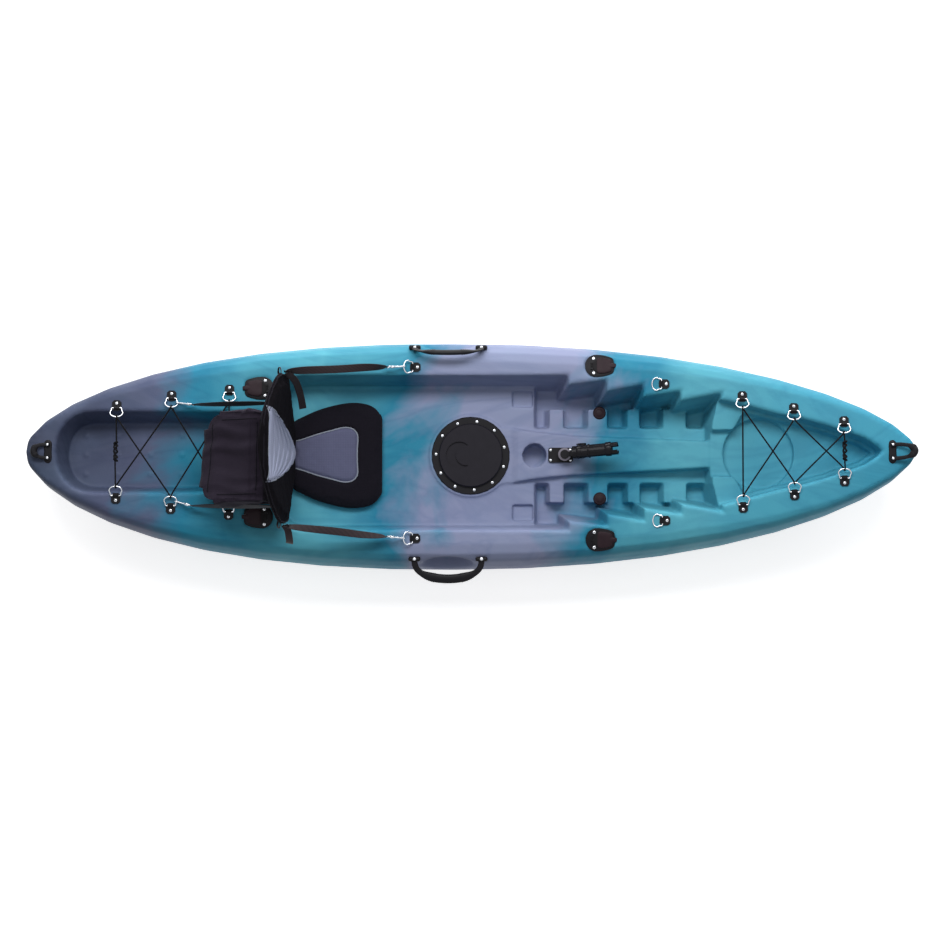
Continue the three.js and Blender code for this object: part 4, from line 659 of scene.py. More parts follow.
PAD_OUTLINE = closed_outline([
    (-0.287, 0), (-0.288, 0.088), (-0.297, 0.140), (-0.322, 0.170), (-0.362, 0.184), (-0.420, 0.184),
    (-0.500, 0.165), (-0.560, 0.140), (-0.598, 0.119), (-0.609, 0.097), (-0.610, 0),
], 200)
PAD_PANEL = closed_outline([
    (-0.378, 0), (-0.376, 0.058), (-0.383, 0.078), (-0.399, 0.089), (-0.425, 0.091), (-0.465, 0.081),
    (-0.510, 0.069), (-0.560, 0.052), (-0.594, 0.042), (-0.602, 0.03), (-0.603, 0),
], 140)
PAD_LOW = 0.1655
PAD_MIDDLE = -0.47
PAD_LEVELS = (
    # share of the outline, height over the floor of the seat
    (0.955, 0), (0.985, 0.005), (1, 0.013), (0.995, 0.022), (0.965, 0.029), (0.9, 0.033), (0.6, 0.034),
    (0.3, 0.034),
)


def pad_outline(share):
    return [(PAD_MIDDLE + (x - PAD_MIDDLE) * share, y * share) for x, y in PAD_OUTLINE]


def seat_pad():
    rings = [[(x, y, PAD_LOW + z) for x, y in pad_outline(share)] for share, z in PAD_LEVELS]
    pad = inflate(from_bmesh("seat_cushion", loft(rings)), 0.008)

    def sewn(place, normal):
        if normal.z < 0.2:
            low = PAD_LOW - place.z
            return Vector((0, 0, low)) if place.z < PAD_LOW + 0.001 else Vector()
        away = distance_to(PAD_PANEL, place.x, place.y)
        within = inside(PAD_PANEL, place.x, place.y)
        groove = -0.006 * math.exp(-(away / 0.007) ** 2)
        crown = 0.0035 * (1 - math.exp(-away / 0.03)) if within else 0
        creases = 0.0016 * noise(Vector((place.x * 24, place.y * 9, 0))) + 0.0008 * noise(place * 70)
        return Vector((0, 0, groove + crown + creases))
    shape_points(pad, sewn)
    paint_faces(pad, [seat_cloth, grey_cloth], lambda c, n: int(n.z > 0.2 and inside(PAD_PANEL, c.x, c.y)))
    soft_piece(pad, "hull", "seat_pad")
    for name, outline, radius, finish in (("panel", PAD_PANEL, 0.0023, piping_cloth),
                                          ("rim", pad_outline(0.972), 0.0021, seat_cloth)):
        route = laid_on(pad, [(x, y, 0.4) for x, y in outline], (0, 0, -1), radius * 0.45)
        sweep(f"seat_cushion_{name}_piping", route, circle(radius, 8), "hull", finish, closed=True)


# Backrest: a curved black shell with wings and a grey panel of fanned channels

BACK_OUTLINE = [
    (0, 0.068), (0.020, 0.09), (0.060, 0.140), (0.110, 0.203), (0.150, 0.238), (0.200, 0.251), (0.250, 0.249),
    (0.290, 0.232), (0.330, 0.194), (0.365, 0.146), (0.390, 0.108), (0.402, 0.076), (0.407, 0.05),
]
RIB_TOP = 0.372
RIB_SIDE = 0.122
RIB_FOOT = 0.03


def back_half(v):
    """Half the width of the backrest at height v."""
    return float(np.interp(v, [p[0] for p in BACK_OUTLINE], [p[1] for p in BACK_OUTLINE]))


def back_bend(u):
    """How far the backrest's wings curve forward."""
    return 0.03 * (u / 0.253) ** 2


def rib_low(u):
    """The lower edge of the channelled panel."""
    return RIB_FOOT + (RIB_TOP - RIB_FOOT - 0.012) * (abs(u) / RIB_SIDE) ** 1.7


def rib_share(u, v):
    """From 0 at the top edge of the channelled panel to 1 at its lower edge, or outside these beyond it."""
    return (RIB_TOP - v) / (RIB_TOP - rib_low(u)) if abs(u) < RIB_SIDE else -1


def seat_back():
    rows, columns = 60, 44
    rings = []
    for r in range(rows + 1):
        v = 0.002 + 0.404 * r / rows
        ends = min(1, (v + 0.006) / 0.03, (0.41 - v) / 0.022)
        ring = []
        for face in (-1, 1):
            for k in range(columns + 1)[::-face]:
                s = math.sin(math.pi / 2 * (2 * k / columns - 1))
                u = s * (back_half(v) - 0.002)
                half_thick = 0.0125 * math.sqrt(ends) * math.sqrt(1 - 0.97 * s ** 6)
                ring.append(BACK @ Vector((back_bend(u) + face * half_thick, u, v)))
        rings.append(ring)
    back = inflate(from_bmesh("seat_backrest", loft(rings)), 0.005)
    turn = TO_BACK.to_3x3()

    def sewn(place, normal):
        p, n = TO_BACK @ place, turn @ normal
        crease = 0.0014 * noise(Vector((p.y * 14, p.z * 30, 4))) + 0.0006 * noise(place * 80)
        if n.x <= 0.25:
            return normal * crease
        q = rib_share(p.y, p.z)
        if not 0 <= q <= 1:
            return normal * (crease - 0.001)
        near = abs(q * 6 - round(q * 6)) / 6
        from_seam = near * (RIB_TOP - RIB_FOOT) * (1 - 0.85 * min(1, abs(p.y) / RIB_SIDE) ** 1.7)
        return normal * (crease * 0.4 + 0.0032 - 0.0075 * math.exp(-(from_seam / 0.0055) ** 2))
    shape_points(back, sewn)

    def finish(centre, normal):
        p, n = TO_BACK @ centre, turn @ normal
        return int(n.x > 0.25 and 0 <= rib_share(p.y, p.z) <= 1)
    # painted shade: the black cloth of the backrest is the darker copy of the seat cloth
    # partly painted highlight: the channelled panel takes the paler copy of the grey cloth
    paint_faces(back, [shaded_back_cloth, paler_lit_rib_cloth], finish)
    soft_piece(back, "seat_back", "seat_back")
    edge = [(u, RIB_TOP) for u in np.linspace(-RIB_SIDE, RIB_SIDE, 40)]
    edge += [(u, rib_low(u)) for u in np.linspace(RIB_SIDE, -RIB_SIDE, 90)[1:-1]]
    starts = [BACK @ Vector((0.3, u, v)) for u, v in edge]
    route = laid_on(back, starts, BACK_TURN @ Vector((-1, 0, 0)), PIPING_LIFT)
    sweep("seat_backrest_panel_piping", route, circle(0.0021, 8), "seat_back", piping_cloth, closed=True)
    rim = [(back_half(v) - 0.004, v) for v in np.linspace(0.004, 0.4, 70)]
    rim = [(-u, v) for u, v in rim] + rim[::-1]
    for name, offset in (("front", 0.009), ("rear", -0.009)):
        points = [BACK @ Vector((back_bend(u) + offset, u, v)) for u, v in rim]
        route = [nearest_on(back, point, PIPING_LIFT) for point in points]
        sweep(f"seat_backrest_{name}_piping", route, circle(0.0022, 8), "seat_back", seat_cloth)


# Bag behind the backrest

BAG_BOX = ((-0.236, -0.171), (-0.03, 0.107))
BAG_CORNER = 0.045
BAG_SLANT = 0.024


def bag_plan(x, y):
    """Rounds the bag's aft corners and slants its aft edge forward at the port end."""
    (aft, starboard), (front, port) = BAG_BOX
    centre_x = aft + BAG_CORNER
    for edge, sign in ((port, 1), (starboard, -1)):
        centre_y = edge - sign * BAG_CORNER
        off_x, off_y = centre_x - x, sign * (y - centre_y)
        if off_x > 0 and off_y > 0:
            away = math.hypot(off_x, off_y)
            if away > BAG_CORNER:
                x = centre_x - off_x * BAG_CORNER / away
                y = centre_y + sign * off_y * BAG_CORNER / away
    share = min(1, max(0, (front - x) / (front - aft)))
    return x + BAG_SLANT * share * (y - starboard) / (port - starboard), y


def seat_bag():
    source = nodes["seat_bag"]
    bag = new_object("seat_rear_bag", source.data.copy())
    bag.matrix_world = source.matrix_world.copy()
    apply_modifiers(bag)
    bag = inflate(bag, 0.006, pressure=3.0)
    modify(bag, "SMOOTH", factor=0.5, iterations=14)
    apply_modifiers(bag)
    turn = BACK_TURN.inverted()

    def folds(place, normal):
        p = TO_BACK @ place
        back_wall = min(1, max(0, (-0.0165 - p.x) / 0.02))
        sag = -0.016 * max(0, normal.z) * math.exp(-((p.y + 0.04) / 0.08) ** 2 - ((p.x + 0.15) / 0.07) ** 2)
        spread = 0.25 * (p.x + 0.1) ** 2 * (1 if p.y > -0.03 else -1)
        bend = p.y + spread + 0.02 * noise(Vector((p.x * 8, 5, p.z * 6)))
        wave = noise(Vector((p.x * 5, bend * 30, p.z * 4)))
        calm = 1 - 0.7 * min(1, max(0, -(turn @ normal).x))
        fold = calm * (0.014 * wave + 0.004 * noise(Vector((p.x * 22, p.y * 11, p.z * 9))))
        pleat = -0.004 * math.exp(-((p.x + 0.062) / 0.006) ** 2) * max(0, normal.z)
        x, y = bag_plan(p.x, p.y)
        tucked = BACK_TURN @ Vector((x - p.x, y - p.y, 0))
        return (normal * min(0.003, fold - 0.003) + Vector((0, 0, sag + pleat)) + tucked) * back_wall
    shape_points(bag, folds)
    paint_faces(bag, [bag_cloth], lambda c, n: 0)
    soft_piece(bag, "seat_back", "seat_bag")
    across, along = np.linspace(-0.142, 0.078, 60), np.linspace(-0.045, -0.18, 50)
    for name, path in (("front", [(-0.045, y) for y in across]), ("rear", [(-0.216, y) for y in across]),
                       ("left", [(x, 0.090) for x in along]), ("right", [(x, -0.154) for x in along])):
        starts = [BACK @ Vector((*bag_plan(x, y), 0.5)) for x, y in path]
        route = laid_on(bag, starts, BACK_TURN @ Vector((0, 0, -1)), SEAM_LIFT)
        sweep(f"seat_bag_{name}_seam", route, circle(0.0018, 8), "seat_back", seat_cloth)


# Webbing that holds the backrest

WEBBING = (0.026, 0.002)  # width and thickness


def mean(points):
    return sum(points, Vector()) / len(points)


def strap_points(name):
    """The vertices of a CAD strap, and the middle of each end, the one nearer the bow first."""
    verts = [nodes[name].matrix_world @ v.co for v in nodes[name].data.vertices]
    ordered = sorted(verts, key=lambda v: v.x)
    ends = [mean([v for v in ordered if (v - tip).length < 0.03]) for tip in (ordered[-1], ordered[0])]
    return verts, *ends


def webbing_strap(name, node, route, finish, twist):
    """Webbing that runs between the hull and the backrest, in the place of a CAD strap."""
    strap = sweep(name, route, flat_section(*WEBBING), None, finish, twist=twist)
    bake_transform(strap)
    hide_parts(node)


def straps():
    # the front straps turn over to one side on their way, by so many degrees
    for (side, sign), turn, power in zip(SIDES, (90, -78), (0.8, 0.6)):
        _, bow_end, stern_end = strap_points(f"front_strap_{side}")
        middle = bow_end.lerp(stern_end, 0.5) + Vector((0, 0, -0.004))
        quarter = bow_end.lerp(stern_end, 0.22) + Vector((0, sign * 0.002, -0.002))
        route = smooth_route([bow_end, quarter, middle, bow_end.lerp(stern_end, 0.8), stern_end], 14)
        webbing_strap(f"front_webbing_{side}", f"front_strap_{side}", route, brown_webbing,
                      lambda t: math.radians(turn * math.sin(math.pi * t) ** power))

        verts, bow_end, stern_end = strap_points(f"rear_strap_{side}")
        bend = [v for v in verts if (v - bow_end).length > 0.05 and (v - stern_end).length > 0.05]
        route = smooth_route([bow_end] + ([mean(bend)] if bend else []) + [stern_end], 22)
        webbing_strap(f"rear_webbing_{side}", f"rear_strap_{side}", route, webbing,
                      lambda t: math.radians(30 * math.sin(math.pi * t)))


TAILS = {
    # the loose end of each front strap, from its slide to its cut end
    "left": [(-0.604, 0.247, 0.421), (-0.588, 0.241, 0.404), (-0.574, 0.226, 0.362), (-0.566, 0.203, 0.312),
             (-0.561, 0.178, 0.268), (-0.558, 0.152, 0.235)],
    "right": [(-0.604, -0.250, 0.421), (-0.594, -0.268, 0.41), (-0.590, -0.292, 0.396),
              (-0.590, -0.303, 0.381), (-0.592, -0.307, 0.366)],
}


def strap_tails():
    for side, sign in SIDES:
        sweep(f"front_webbing_tail_{side}", smooth_route(TAILS[side], 10), flat_section(0.024, 0.0018),
              "seat_back", brown_webbing, across=(1, 0.25 * sign, 0))
        loop = [Vector((-0.621 + 0.005 * math.sin(a), sign * (0.250 + 0.013 * math.cos(a)),
                        0.445 + 0.012 * math.cos(a) + 0.004 * math.sin(a))) for a in turns(24)]
        sweep(f"backrest_loop_{side}", loop, flat_section(0.008, 0.0015), "seat_back", webbing, closed=True,
              across=(1, 0, 0))
        stern_end = strap_points(f"front_strap_{side}")[2]
        for k, ahead in enumerate((-0.002, 0.006, 0.014)):
            bar = [stern_end + Vector((ahead, -0.002 * sign, z)) for z in np.linspace(-0.018, 0.018, 7)]
            sweep(f"front_slide_{side}_{k + 1}", bar, circle(0.0024, 10), "seat_back", black_plastic,
                  across=(1, 0, 0))


seat_pad()
seat_back()
seat_bag()
straps()
strap_tails()


# Shock cords, along the routes of the CAD cords

LACINGS = {
    # where each cord starts, where it turns back and where it ends, and the middle of its knot
    "stern": ((-1.1672, 0, 0.3211), (-0.7976, 0, 0.3082), (-1.1728, 0, 0.3211), Vector((-1.17, 0, 0.3211))),
    "bow": ((1.2378, 0, 0.3442), (0.9013, 0, 0.3215), (1.2322, 0, 0.3442), Vector((1.235, 0, 0.3442))),
}
LEGS = {
    # x and y on the way out, mirrored on the way back, with the height out and the height back
    "stern": [
        (-1.1696, 0.0989, 0.3183, 0.3239), (-1.1695, 0.1151, 0.3156, 0.3266), (-1.169, 0.119, 0.3172, 0.325),
        (-1.1695, 0.1205, 0.321, 0.3212), (-1.1679, 0.119, 0.3249, 0.3174), (-1.1665, 0.1151, 0.3264, 0.3158),
        (-1.1603, 0.1018, 0.3237, 0.3185), (-1.0904, 0, 0.3209, 0.3153), (-0.9978, -0.1347, 0.3115, 0.3168),
        (-0.9916, -0.1481, 0.3088, 0.3195), (-0.9897, -0.1519, 0.3104, 0.3179),
        (-0.9886, -0.1535, 0.3142, 0.3141), (-0.9876, -0.1519, 0.318, 0.3103),
        (-0.9858, -0.1481, 0.3196, 0.3087), (-0.9802, -0.1342, 0.3169, 0.3114), (-0.8991, 0, 0.3142, 0.3086),
        (-0.806, 0.1542, 0.3055, 0.311), (-0.8004, 0.168, 0.3028, 0.3137), (-0.7991, 0.1718, 0.3043, 0.3121),
        (-0.7976, 0.1734, 0.3082, 0.3083), (-0.7981, 0.1718, 0.312, 0.3045), (-0.7976, 0.168, 0.3136, 0.3029),
        (-0.7976, 0.1518, 0.3109, 0.3056),
    ],
    "bow": [
        (1.2344, 0.0431, 0.3416, 0.3467), (1.2342, 0.0593, 0.3389, 0.3494), (1.2335, 0.0631, 0.3404, 0.3479),
        (1.2341, 0.0647, 0.3443, 0.344), (1.2321, 0.0631, 0.3481, 0.3402), (1.2303, 0.0593, 0.3497, 0.3386),
        (1.2227, 0.0479, 0.347, 0.3413), (1.1747, 0, 0.3426, 0.3369), (1.0817, -0.0927, 0.3292, 0.3348),
        (1.074, -0.1041, 0.3265, 0.3375), (1.0717, -0.108, 0.3281, 0.3359), (1.0702, -0.1095, 0.3319, 0.3321),
        (1.0693, -0.108, 0.3357, 0.3283), (1.0672, -0.1041, 0.3373, 0.3267),
        (1.0611, -0.0907, 0.3346, 0.3294), (0.9996, 0, 0.3304, 0.3248), (0.9104, 0.1316, 0.3188, 0.3241),
        (0.9043, 0.1451, 0.3161, 0.3268), (0.9029, 0.1489, 0.3177, 0.3252), (0.9013, 0.1505, 0.3215, 0.3214),
        (0.9018, 0.1489, 0.3254, 0.3176), (0.9013, 0.1451, 0.3269, 0.316), (0.9013, 0.1289, 0.3242, 0.3187),
    ],
}


def shock_cord(end):
    start, turn, last, middle = LACINGS[end]
    out = [(x, y, z) for x, y, z, _ in LEGS[end]]
    back = [(x, -y, z) for x, y, _, z in reversed(LEGS[end])]
    route = smooth_route([start, *out, turn, *back, last], 5)
    cord = sweep(f"{end}_shock_cord", route, circle(0.0026, 14), "hull", cord_cloth)
    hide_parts(f"{end}_bungee")
    # the knot winds five times round the cord while it runs there and back along it
    knot = [middle + Vector((0.0056 * math.sin(5 * a), 0.030 * math.cos(a) + 0.003 * math.sin(4 * a),
                             0.0040 * math.cos(5 * a) + 0.001)) for a in turns(120)]
    sweep(f"{end}_cord_knot", knot, circle(0.0030), "hull", cord_cloth, closed=True)


shock_cord("stern")
shock_cord("bow")


# Bright screws and rings, and smooth handles, in the frames of the CAD fittings

def frame_at(place, up, forward):
    """A frame with its Z up and its Y as near to forward as that allows."""
    up = Vector(up).normalized()
    forward = Vector(forward)
    forward = (forward - up * up.dot(forward)).normalized()
    matrix = Matrix((forward.cross(up), forward, up)).transposed().to_4x4()
    matrix.translation = place
    return matrix


def shifted(matrix, x, y, z):
    return matrix @ Matrix.Translation((x, y, z))


def screw_head():
    """A pan head of unit radius with a cross recess, on z 0."""
    profile = ((1, -0.2), (1, 0.14), (0.95, 0.27), (0.82, 0.38), (0.6, 0.46), (0.3, 0.5))
    head = from_bmesh("screw_head", loft([[(x, y, z) for x, y in circle(r, 28)] for r, z in profile]))
    for long_x, long_y in ((0.55, 0.11), (0.11, 0.55)):
        blade = bmesh.new()
        bmesh.ops.create_cube(blade, size=2)
        bmesh.ops.scale(blade, vec=(long_x, long_y, 0.4), verts=blade.verts)
        bmesh.ops.translate(blade, vec=(0, 0, 0.62), verts=blade.verts)
        cut(head, blade)
    mesh = head.data
    bpy.data.objects.remove(head)
    return mesh


HEAD = screw_head()
SCREW = 0.0052  # the radius of the common screw head


def screws(carrier, places, radius, body="hull"):
    """Steel screw heads on a CAD piece, at frames whose Z runs up out of the screw."""
    bm = bmesh.new()
    for turn, place in enumerate(places):
        count = len(bm.verts)
        bm.from_mesh(HEAD)
        bm.verts.ensure_lookup_table()
        shape = place @ Matrix.Rotation(0.7 * turn + place.translation.x, 4, "Z") @ Matrix.Scale(radius, 4)
        bmesh.ops.transform(bm, matrix=shape, verts=bm.verts[count:])
    dressed(from_bmesh(f"{carrier}_screws", bm, body), steel, 40)


def d_ring(name, matrix, body, node=None):
    """A ring of bright wire with its straight bar on X and its bow towards Y."""
    bow = [(0.021 * math.cos(a), 0.0165 + 0.0145 * math.sin(a), 0)
           for a in np.linspace(-0.18 * math.pi, 1.18 * math.pi, 8)]
    points = [matrix @ Vector(p) for p in [(-0.015, 0, 0), (0, 0, 0), (0.015, 0, 0)] + bow]
    ring = sweep(name, smooth_route(points, 6, closed=True), circle(0.0022), body, steel, closed=True,
                 across=matrix.to_3x3() @ UP)
    if node:
        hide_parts(node)


LACING_EYES = (
    ("stern_eye_1", (-1.1700, 0.1540, 0.3071), (0.0328, 0.0337, 0.9989)),
    ("stern_eye_2", (-0.9891, 0.1870, 0.3004), (0.0299, 0.0274, 0.9992)),
    ("stern_eye_3", (-0.7980, 0.2070, 0.2946), (0.0253, 0.0241, 0.9994)),
    ("bow_eye_1", (1.2350, 0.0980, 0.3299), (-0.0634, 0.0443, 0.9970)),
    ("bow_eye_2", (1.0710, 0.1430, 0.3182), (-0.0589, 0.0332, 0.9977)),
    ("bow_eye_3", (0.9019, 0.1840, 0.3078), (-0.0511, 0.0279, 0.9983)),
)
LONE_EYES = (
    ("strap", (-0.1820, 0.2850, 0.2831), (0.0058, 0.0210, 0.9998), 0.35, "hull"),
    ("foot", (0.6440, 0.2270, 0.2955), (-0.0410, 0.0238, 0.9989), -0.13, None),
)


def on_side(values, sign):
    return (values[0], values[1] * sign, values[2])


def eye(carrier, matrix, tilt, ring, body, node=None):
    """The screw and the ring of an eye plate."""
    screws(carrier, [shifted(matrix, 0, -0.007, 0.0035)], SCREW)
    hinge = shifted(matrix, 0, 0.009, 0.0062) @ Matrix.Rotation(tilt, 4, "X")
    d_ring(ring, hinge, body, node)


def eye_fittings():
    for name, place, up in LACING_EYES:
        for side, sign in SIDES:
            matrix = frame_at(on_side(place, sign), on_side(up, sign), (0, -sign, 0))
            carrier = f"{name}_{side}"
            eye(carrier, matrix, 0.21, f"{carrier}_ring", "hull")
            inverse = matrix.inverted()
            nodes[carrier].data.materials.append(steel)
            for face in nodes[carrier].data.polygons:
                p = inverse @ face.center
                if p.z > 0.004 and (p.y > 0.0142 or abs(p.x) > 0.0101):  # the CAD ring, fused with its plate
                    face.material_index = 1
    for name, place, up, tilt, body in LONE_EYES:
        for side, sign in SIDES:
            matrix = frame_at(on_side(place, sign), on_side(up, sign), (-1, 0, 0))
            ring = f"{name}_ring_{side}"
            eye(f"{name}_eye_{side}", matrix, tilt, f"{ring}_wire", body or ring, ring)


def plate_screws():
    count, first, radius = 11, 0.246, 0.116
    flange = [Matrix.Translation((HATCH[0] + radius * math.cos(a), radius * math.sin(a), 0.1778))
              for a in (first + 2 * math.pi * k / count for k in range(count))]
    screws("hatch_ring", flange, SCREW)
    for name, matrix in HOLDER_FRAMES.items():
        screws(name, [shifted(matrix, -0.0215, y, 0.0057) for y in (-0.025, 0.025)], 0.0056)
    corners = [(0.3029 + x, y, 0.1943) for x in (-0.033, 0.033) for y in (-0.017, 0.017)]
    screws("swivel_base", [Matrix.Translation(corner) for corner in corners], 0.0045)


HOOKS = (
    ("front_hook_left", (-0.2200, 0.2854, 0.3002), (0.3050, 0.0246, 0.9520), (0.0803, -0.9968, 0)),
    ("front_hook_right", (-0.2200, -0.2854, 0.3002), (0.3050, -0.0246, 0.9520), (-0.0803, -0.9968, 0)),
    ("rear_hook_left", (-0.9678, 0.1622, 0.3101), (-0.3088, 0.0438, 0.9501), (0.1404, 0.9901, 0)),
    ("rear_hook_right", (-0.9695, -0.1657, 0.3094), (-0.2910, 0.0810, 0.9533), (0.2680, 0.9634, 0)),
)


def lathe(name, matrix, profile, body, finish, sides=24, closed=False):
    """A turned piece round the frame's X axis from (x, radius) pairs."""
    rings = [[matrix @ Vector((x, y, z)) for y, z in circle(r, sides)] for x, r in profile]
    return dressed(from_bmesh(name, loft(rings, closed), body), finish, 50 if closed else 45)


HOOK_LOOP = [
    (x + 0.0066 * math.cos(a), 0, 0.0066 * math.sin(a)) for x, start in ((0.0015, 0.5), (0.0274, -0.5))
    for a in np.linspace(start * math.pi, (start + 1) * math.pi, 7)
]
HOOK_EYE = [(x, 0, -z) for x, z in ((0.0465, 0.0135), (0.048, 0.015), (0.055, 0.015), (0.057, 0.013))]
HOOK_EYE += [(x, 0, -z) for x, _, z in reversed(HOOK_EYE)]
HOOK_SWIVEL = [
    (0.0315, 0.0022), (0.0325, 0.0038), (0.0345, 0.0047), (0.0365, 0.0047), (0.0375, 0.0036),
    (0.0385, 0.0047), (0.0435, 0.0047), (0.0452, 0.0036), (0.0475, 0.0028),
]


def snap_hooks():
    for name, place, up, aside in HOOKS:
        matrix = frame_at(place, up, aside)
        flat = matrix.to_3x3() @ Vector((0, 1, 0))
        for part, points in (("gate", HOOK_LOOP), ("eye", HOOK_EYE)):
            route = smooth_route([matrix @ Vector(p) for p in points], 5, closed=True)
            wire = sweep(f"{name}_{part}", route, circle(0.0021), "hull", steel, closed=True, across=flat)
            if part == "gate":
                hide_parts(name)
        lathe(f"{name}_swivel", matrix, HOOK_SWIVEL, "hull", steel)


SIDE_HANDLE = (0.222, 0.066, 0.020, 0.030, 0.005, 0.016, 0.008, 0.024)
HANDLES = (
    # name, middle of the axis, up, forward; span, reach, widths of strip and grip, their thicknesses,
    # radius and length of the barrel at each end
    ("side_handle_left", (-0.0730, 0.3528, 0.2686), (0, -0.9290, -0.3702), (0, -0.3702, 0.9290), SIDE_HANDLE),
    ("side_handle_right", (-0.0730, -0.3528, 0.2686), (0, 0.1494, -0.9888), (0, -0.9888, -0.1494),
     SIDE_HANDLE),
    ("bow_handle", (1.3920, -0.0030, 0.3527), (-0.4078, 0, 0.9131), (0.9131, 0, 0.4078),
     (0.046, 0.074, 0.013, 0.024, 0.005, 0.012, 0.007, 0.018)),
    ("stern_handle", (-1.3940, 0, 0.3286), (0.2955, 0, 0.9553), (-0.9553, 0, 0.2955),
     (0.044, 0.046, 0.012, 0.022, 0.005, 0.012, 0.007, 0.016)),
)


def rounded(cosine, power):
    return math.copysign(abs(cosine) ** power, cosine)


def handles():
    for name, place, up, forward, sizes in HANDLES:
        span, reach, strip, grip, strip_thick, grip_thick, barrel, length = sizes
        on_gunwale = span > 0.1
        matrix = frame_at(place, up, forward)
        turn = matrix.to_3x3()
        route = [matrix @ Vector((-span / 2 * math.cos(a), reach * max(0, math.sin(a)) ** 0.7, 0))
                 for a in np.linspace(0, math.pi, 121)]

        def section(share):
            rise = min(1, max(0, (math.sin(math.pi * share) - 0.55) / 0.4))
            swell = rise * rise * (3 - 2 * rise)
            ridge = 0.0007 * swell * (1 + math.sin(share * 260)) if 0 < swell < 0.98 else 0
            wide = (strip + (grip - strip) * swell) / 2 + ridge
            thick = (strip_thick + (grip_thick - strip_thick) * swell) / 2 + ridge
            corner = 0.62 + 0.3 * swell
            return [(rounded(math.cos(a), corner) * thick, rounded(math.sin(a), corner) * wide)
                    for a in turns(24)]
        strap = sweep(f"{name}_grip", route, section, name, black_plastic, across=turn @ UP)
        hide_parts(name)
        skyward = turn.inverted() @ UP
        skyward = Vector((0, skyward.y, skyward.z)).normalized()
        half = length / 2 + 0.008 if on_gunwale else length / 2
        profile = [(-half, 0.3), (-half + 0.001, 0.7), (-half + 0.004, 0.97), (-half + 0.007, 1.02)]
        profile = [(x, r * barrel) for x, r in profile + [(-x, r) for x, r in reversed(profile)]]
        places = []
        for end, x in (("first", -span / 2), ("second", span / 2)):
            lathe(f"{name}_{end}_boss", shifted(matrix, x, 0, 0), profile, name, black_plastic)
            top = matrix @ (Vector((x, 0, 0)) + skyward * barrel * 0.93)
            places.append(frame_at(top, turn @ skyward, turn @ Vector((1, 0, 0))))
        screws(name, places, 0.0054 if on_gunwale else 0.0042)


def flat_ring(name, outline, hole, low, thick, matrix, body, finish, crown=0):
    """A plate with rounded edges inside an outline, with a round hole if hole is more than 0."""
    centre = Vector((sum(x for x, _ in outline) / len(outline), 0))

    def ring(inset, z):
        made = []
        for x, y in outline:
            away = Vector((x, y)) - centre
            kept = away * (1 - inset / max(away.length, inset + 1e-6))
            made.append(matrix @ Vector((centre.x + kept.x, kept.y, z)))
        return made
    edge, top = thick * 0.45, low + thick
    rings = [ring(0, low), ring(0, top - edge), ring(edge * 0.3, top - edge * 0.3), ring(edge, top)]
    if hole:
        for z in (top, low):
            rings.append([matrix @ Vector((hole * math.cos(a), hole * math.sin(a), z))
                          for a in (math.atan2(y, x) for x, y in outline)])
    else:
        rings += [ring(0.008, top + crown * 0.7), ring(0.016, top + crown)]
    return dressed(from_bmesh(name, loft(rings, closed=hole > 0), body), finish, 50)


CAP = closed_outline([
    (-0.0115, 0), (-0.0115, 0.016), (-0.009, 0.0235), (-0.001, 0.0275), (0.014, 0.0265), (0.030, 0.0225),
    (0.037, 0.0185), (0.0385, 0.0105), (0.0425, 0.0075), (0.0515, 0.0065), (0.0535, 0.003), (0.0535, 0),
], 96)


def holder_trim():
    for name, matrix in HOLDER_FRAMES.items():
        flat_ring(f"{name}_rim", PLATE, 0.0202, 0.0044, 0.0013, matrix, "hull", black_plastic)
        cap = name.replace("holder", "cap")
        flat_ring(f"{cap}_panel", CAP, 0, 0.0062, 0.0036, matrix, cap, cap_rubber, crown=0.0012)


OVAL = closed_outline([
    (-0.0135, 0), (-0.0135, 0.020), (-0.0115, 0.0315), (-0.006, 0.0375), (0.0, 0.039), (0.006, 0.0375),
    (0.0115, 0.0315), (0.0135, 0.020), (0.0135, 0),
], 64)


def handle_plates():
    for end, x, y, up in (("bow", 1.392, -0.003, (-0.06, 0, 1)), ("stern", -1.394, 0, (0.035, 0, 1))):
        place = laid_on(hull_shell, [(x, y, 1)], (0, 0, -1), 0)[0]
        matrix = frame_at(place, up, (0, 1, 0))
        flat_ring(f"{end}_handle_plate", OVAL, 0, -0.0075, 0.0095, matrix, "hull", black_plastic)


UPRIGHT = Matrix.Rotation(-math.pi / 2, 4, "Y")  # turns X up
POST = Matrix.Translation((0.3159, 0, 0.1943)) @ UPRIGHT
CRADLE = frame_at((0.3738, 0.0046, 0.2343), (-0.1980, -0.0159, 0.9801), (-0.0799, 0.9968, 0))
TUBE = shifted(CRADLE, 0, 0, 0.034)
COLLARS = (
    # name, frame, start and end along its X, inner and outer radius, body, finish
    ("rod_cradle_rear_band", TUBE, -0.012, 0.004, 0.0205, 0.0226, "rod_cradle", shiny_plastic),
    ("rod_cradle_middle_band", TUBE, 0.026, 0.032, 0.0205, 0.0236, "rod_cradle", shiny_plastic),
    ("rod_cradle_front_band", TUBE, 0.084, 0.104, 0.0205, 0.0236, "rod_cradle", shiny_plastic),
    ("swivel_lock_ring", POST, 0.0252, 0.0275, 0.0125, 0.0218, "swivel_head", grey_plastic),
)


def swivel_trim():
    """Collars round the swivel holder's tube and post."""
    soft = 0.0012
    for name, matrix, start, end, inner, outer, body, finish in COLLARS:
        profile = [(start, inner), (start, outer - soft), (start + soft, outer), (end - soft, outer),
                   (end, outer - soft), (end, inner)]
        lathe(name, matrix, profile, body, finish, 40, closed=True)


DOME = [
    # height, share of the plug's radius
    (0, 0.8), (0.0012, 0.78), (0.0014, 0.6), (0.0024, 0.55), (0.0036, 0.4), (0.0042, 0.2),
]


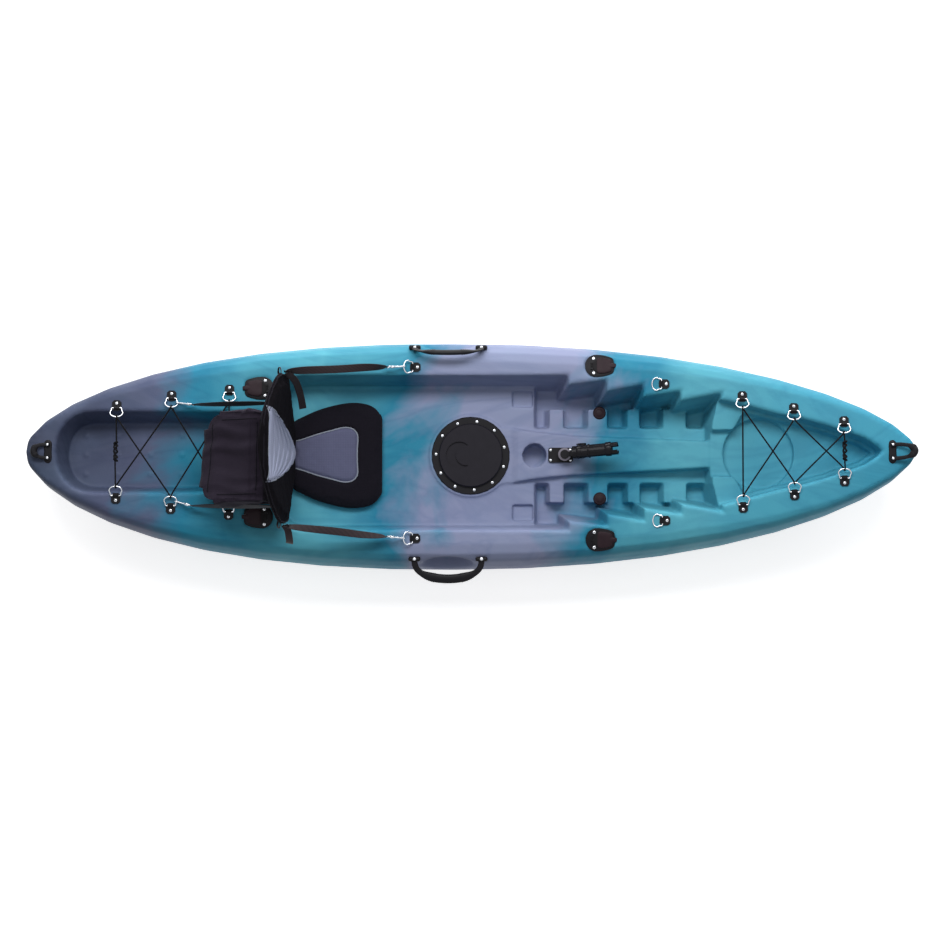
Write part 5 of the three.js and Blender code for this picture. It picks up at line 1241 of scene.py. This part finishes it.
def plug_domes():
    for side, _ in SIDES:
        name = f"scupper_plug_{side}"
        node = nodes[name]
        node.data.materials[0] = cap_rubber
        places = np.array([node.matrix_world @ v.co for v in node.data.vertices])
        low, high = places.min(0), places.max(0)
        radius = (high[0] - low[0]) / 2
        top = Matrix.Translation(((low[0] + high[0]) / 2, (low[1] + high[1]) / 2, high[2] - 0.0004))
        profile = [(x, radius * share) for x, share in DOME] + [(0.0043, 0.0004)]
        lathe(f"{name}_dome", top @ UPRIGHT, profile, name, cap_rubber, 40)


eye_fittings()
plug_domes()
plate_screws()
holder_trim()
handle_plates()
swivel_trim()
snap_hooks()
handles()


# Floor, light and camera

FLOOR_LOW = -0.001  # just under the keel


def stage():
    bm = bmesh.new()
    bmesh.ops.create_grid(bm, x_segments=1, y_segments=1, size=30)
    bmesh.ops.translate(bm, verts=bm.verts, vec=(0, 0, FLOOR_LOW))
    floor = from_bmesh("floor", bm, smooth=False)
    s = Shader("pale_floor")
    rays = s.add("LightPath").outputs
    seen = s.maths("MAXIMUM", rays["Is Camera Ray"], rays["Is Glossy Ray"])
    s.set(base_color=(0.66, 0.66, 0.67, 1), roughness=0.9, emission_color=(1, 1, 1, 1),
          emission_strength=s.maths("MULTIPLY", seen, 0.75))
    floor.data.materials.append(s.material)


def soft_light(name, place, target, size, power):
    lamp = bpy.data.lights.new(name, "AREA")
    lamp.shape = "RECTANGLE"
    lamp.size, lamp.size_y = size
    lamp.energy = power
    thing = new_object(name, lamp)
    thing.location = place
    thing.rotation_euler = (Vector(target) - Vector(place)).to_track_quat("-Z", "Y").to_euler()


def studio():
    world = bpy.data.worlds.new("studio")
    world.use_nodes = True
    s = Nodes(world.node_tree)
    rays = s.add("LightPath").outputs
    seen = s.maths("MAXIMUM", rays["Is Camera Ray"], rays["Is Glossy Ray"])
    seen = s.maths("MAXIMUM", seen, rays["Is Transmission Ray"])
    background = world.node_tree.nodes["Background"]
    s.feed(background.inputs["Color"], (0.95, 0.97, 1, 1))
    s.feed(background.inputs["Strength"], s.between(seen, 0.2, 1))
    bpy.context.scene.world = world
    soft_light("key", (0, 2.5, 4.4), (0, 0, 0.2), (5.5, 1.4), 205)
    soft_light("top", (0, 0.2, 5), (0, 0, 0), (5, 2.5), 26)
    soft_light("side", (0, 4.4, 0.7), (0, 0, 0.22), (6, 0.9), 180)


METRES_PER_PIXEL = 0.003315
FRAME_PIXELS = 950


def camera():
    """Looks down on the deck from 85 degrees, from the starboard side, with the bow to the right."""
    lens = bpy.data.cameras.new("camera")
    distance = 9
    target = Vector((0.0165, -0.0745, 0.28))
    lens.sensor_width = 36
    lens.lens = lens.sensor_width * distance / (FRAME_PIXELS * METRES_PER_PIXEL)
    lens.clip_end = 100
    elevation = math.radians(85)
    thing = new_object("camera", lens)
    thing.location = target + distance * Vector((0, -math.cos(elevation), math.sin(elevation)))
    thing.rotation_euler = (math.pi / 2 - elevation, 0, 0)
    bpy.context.scene.camera = thing


stage()
studio()
camera()
bpy.context.scene.view_settings.view_transform = "Standard"
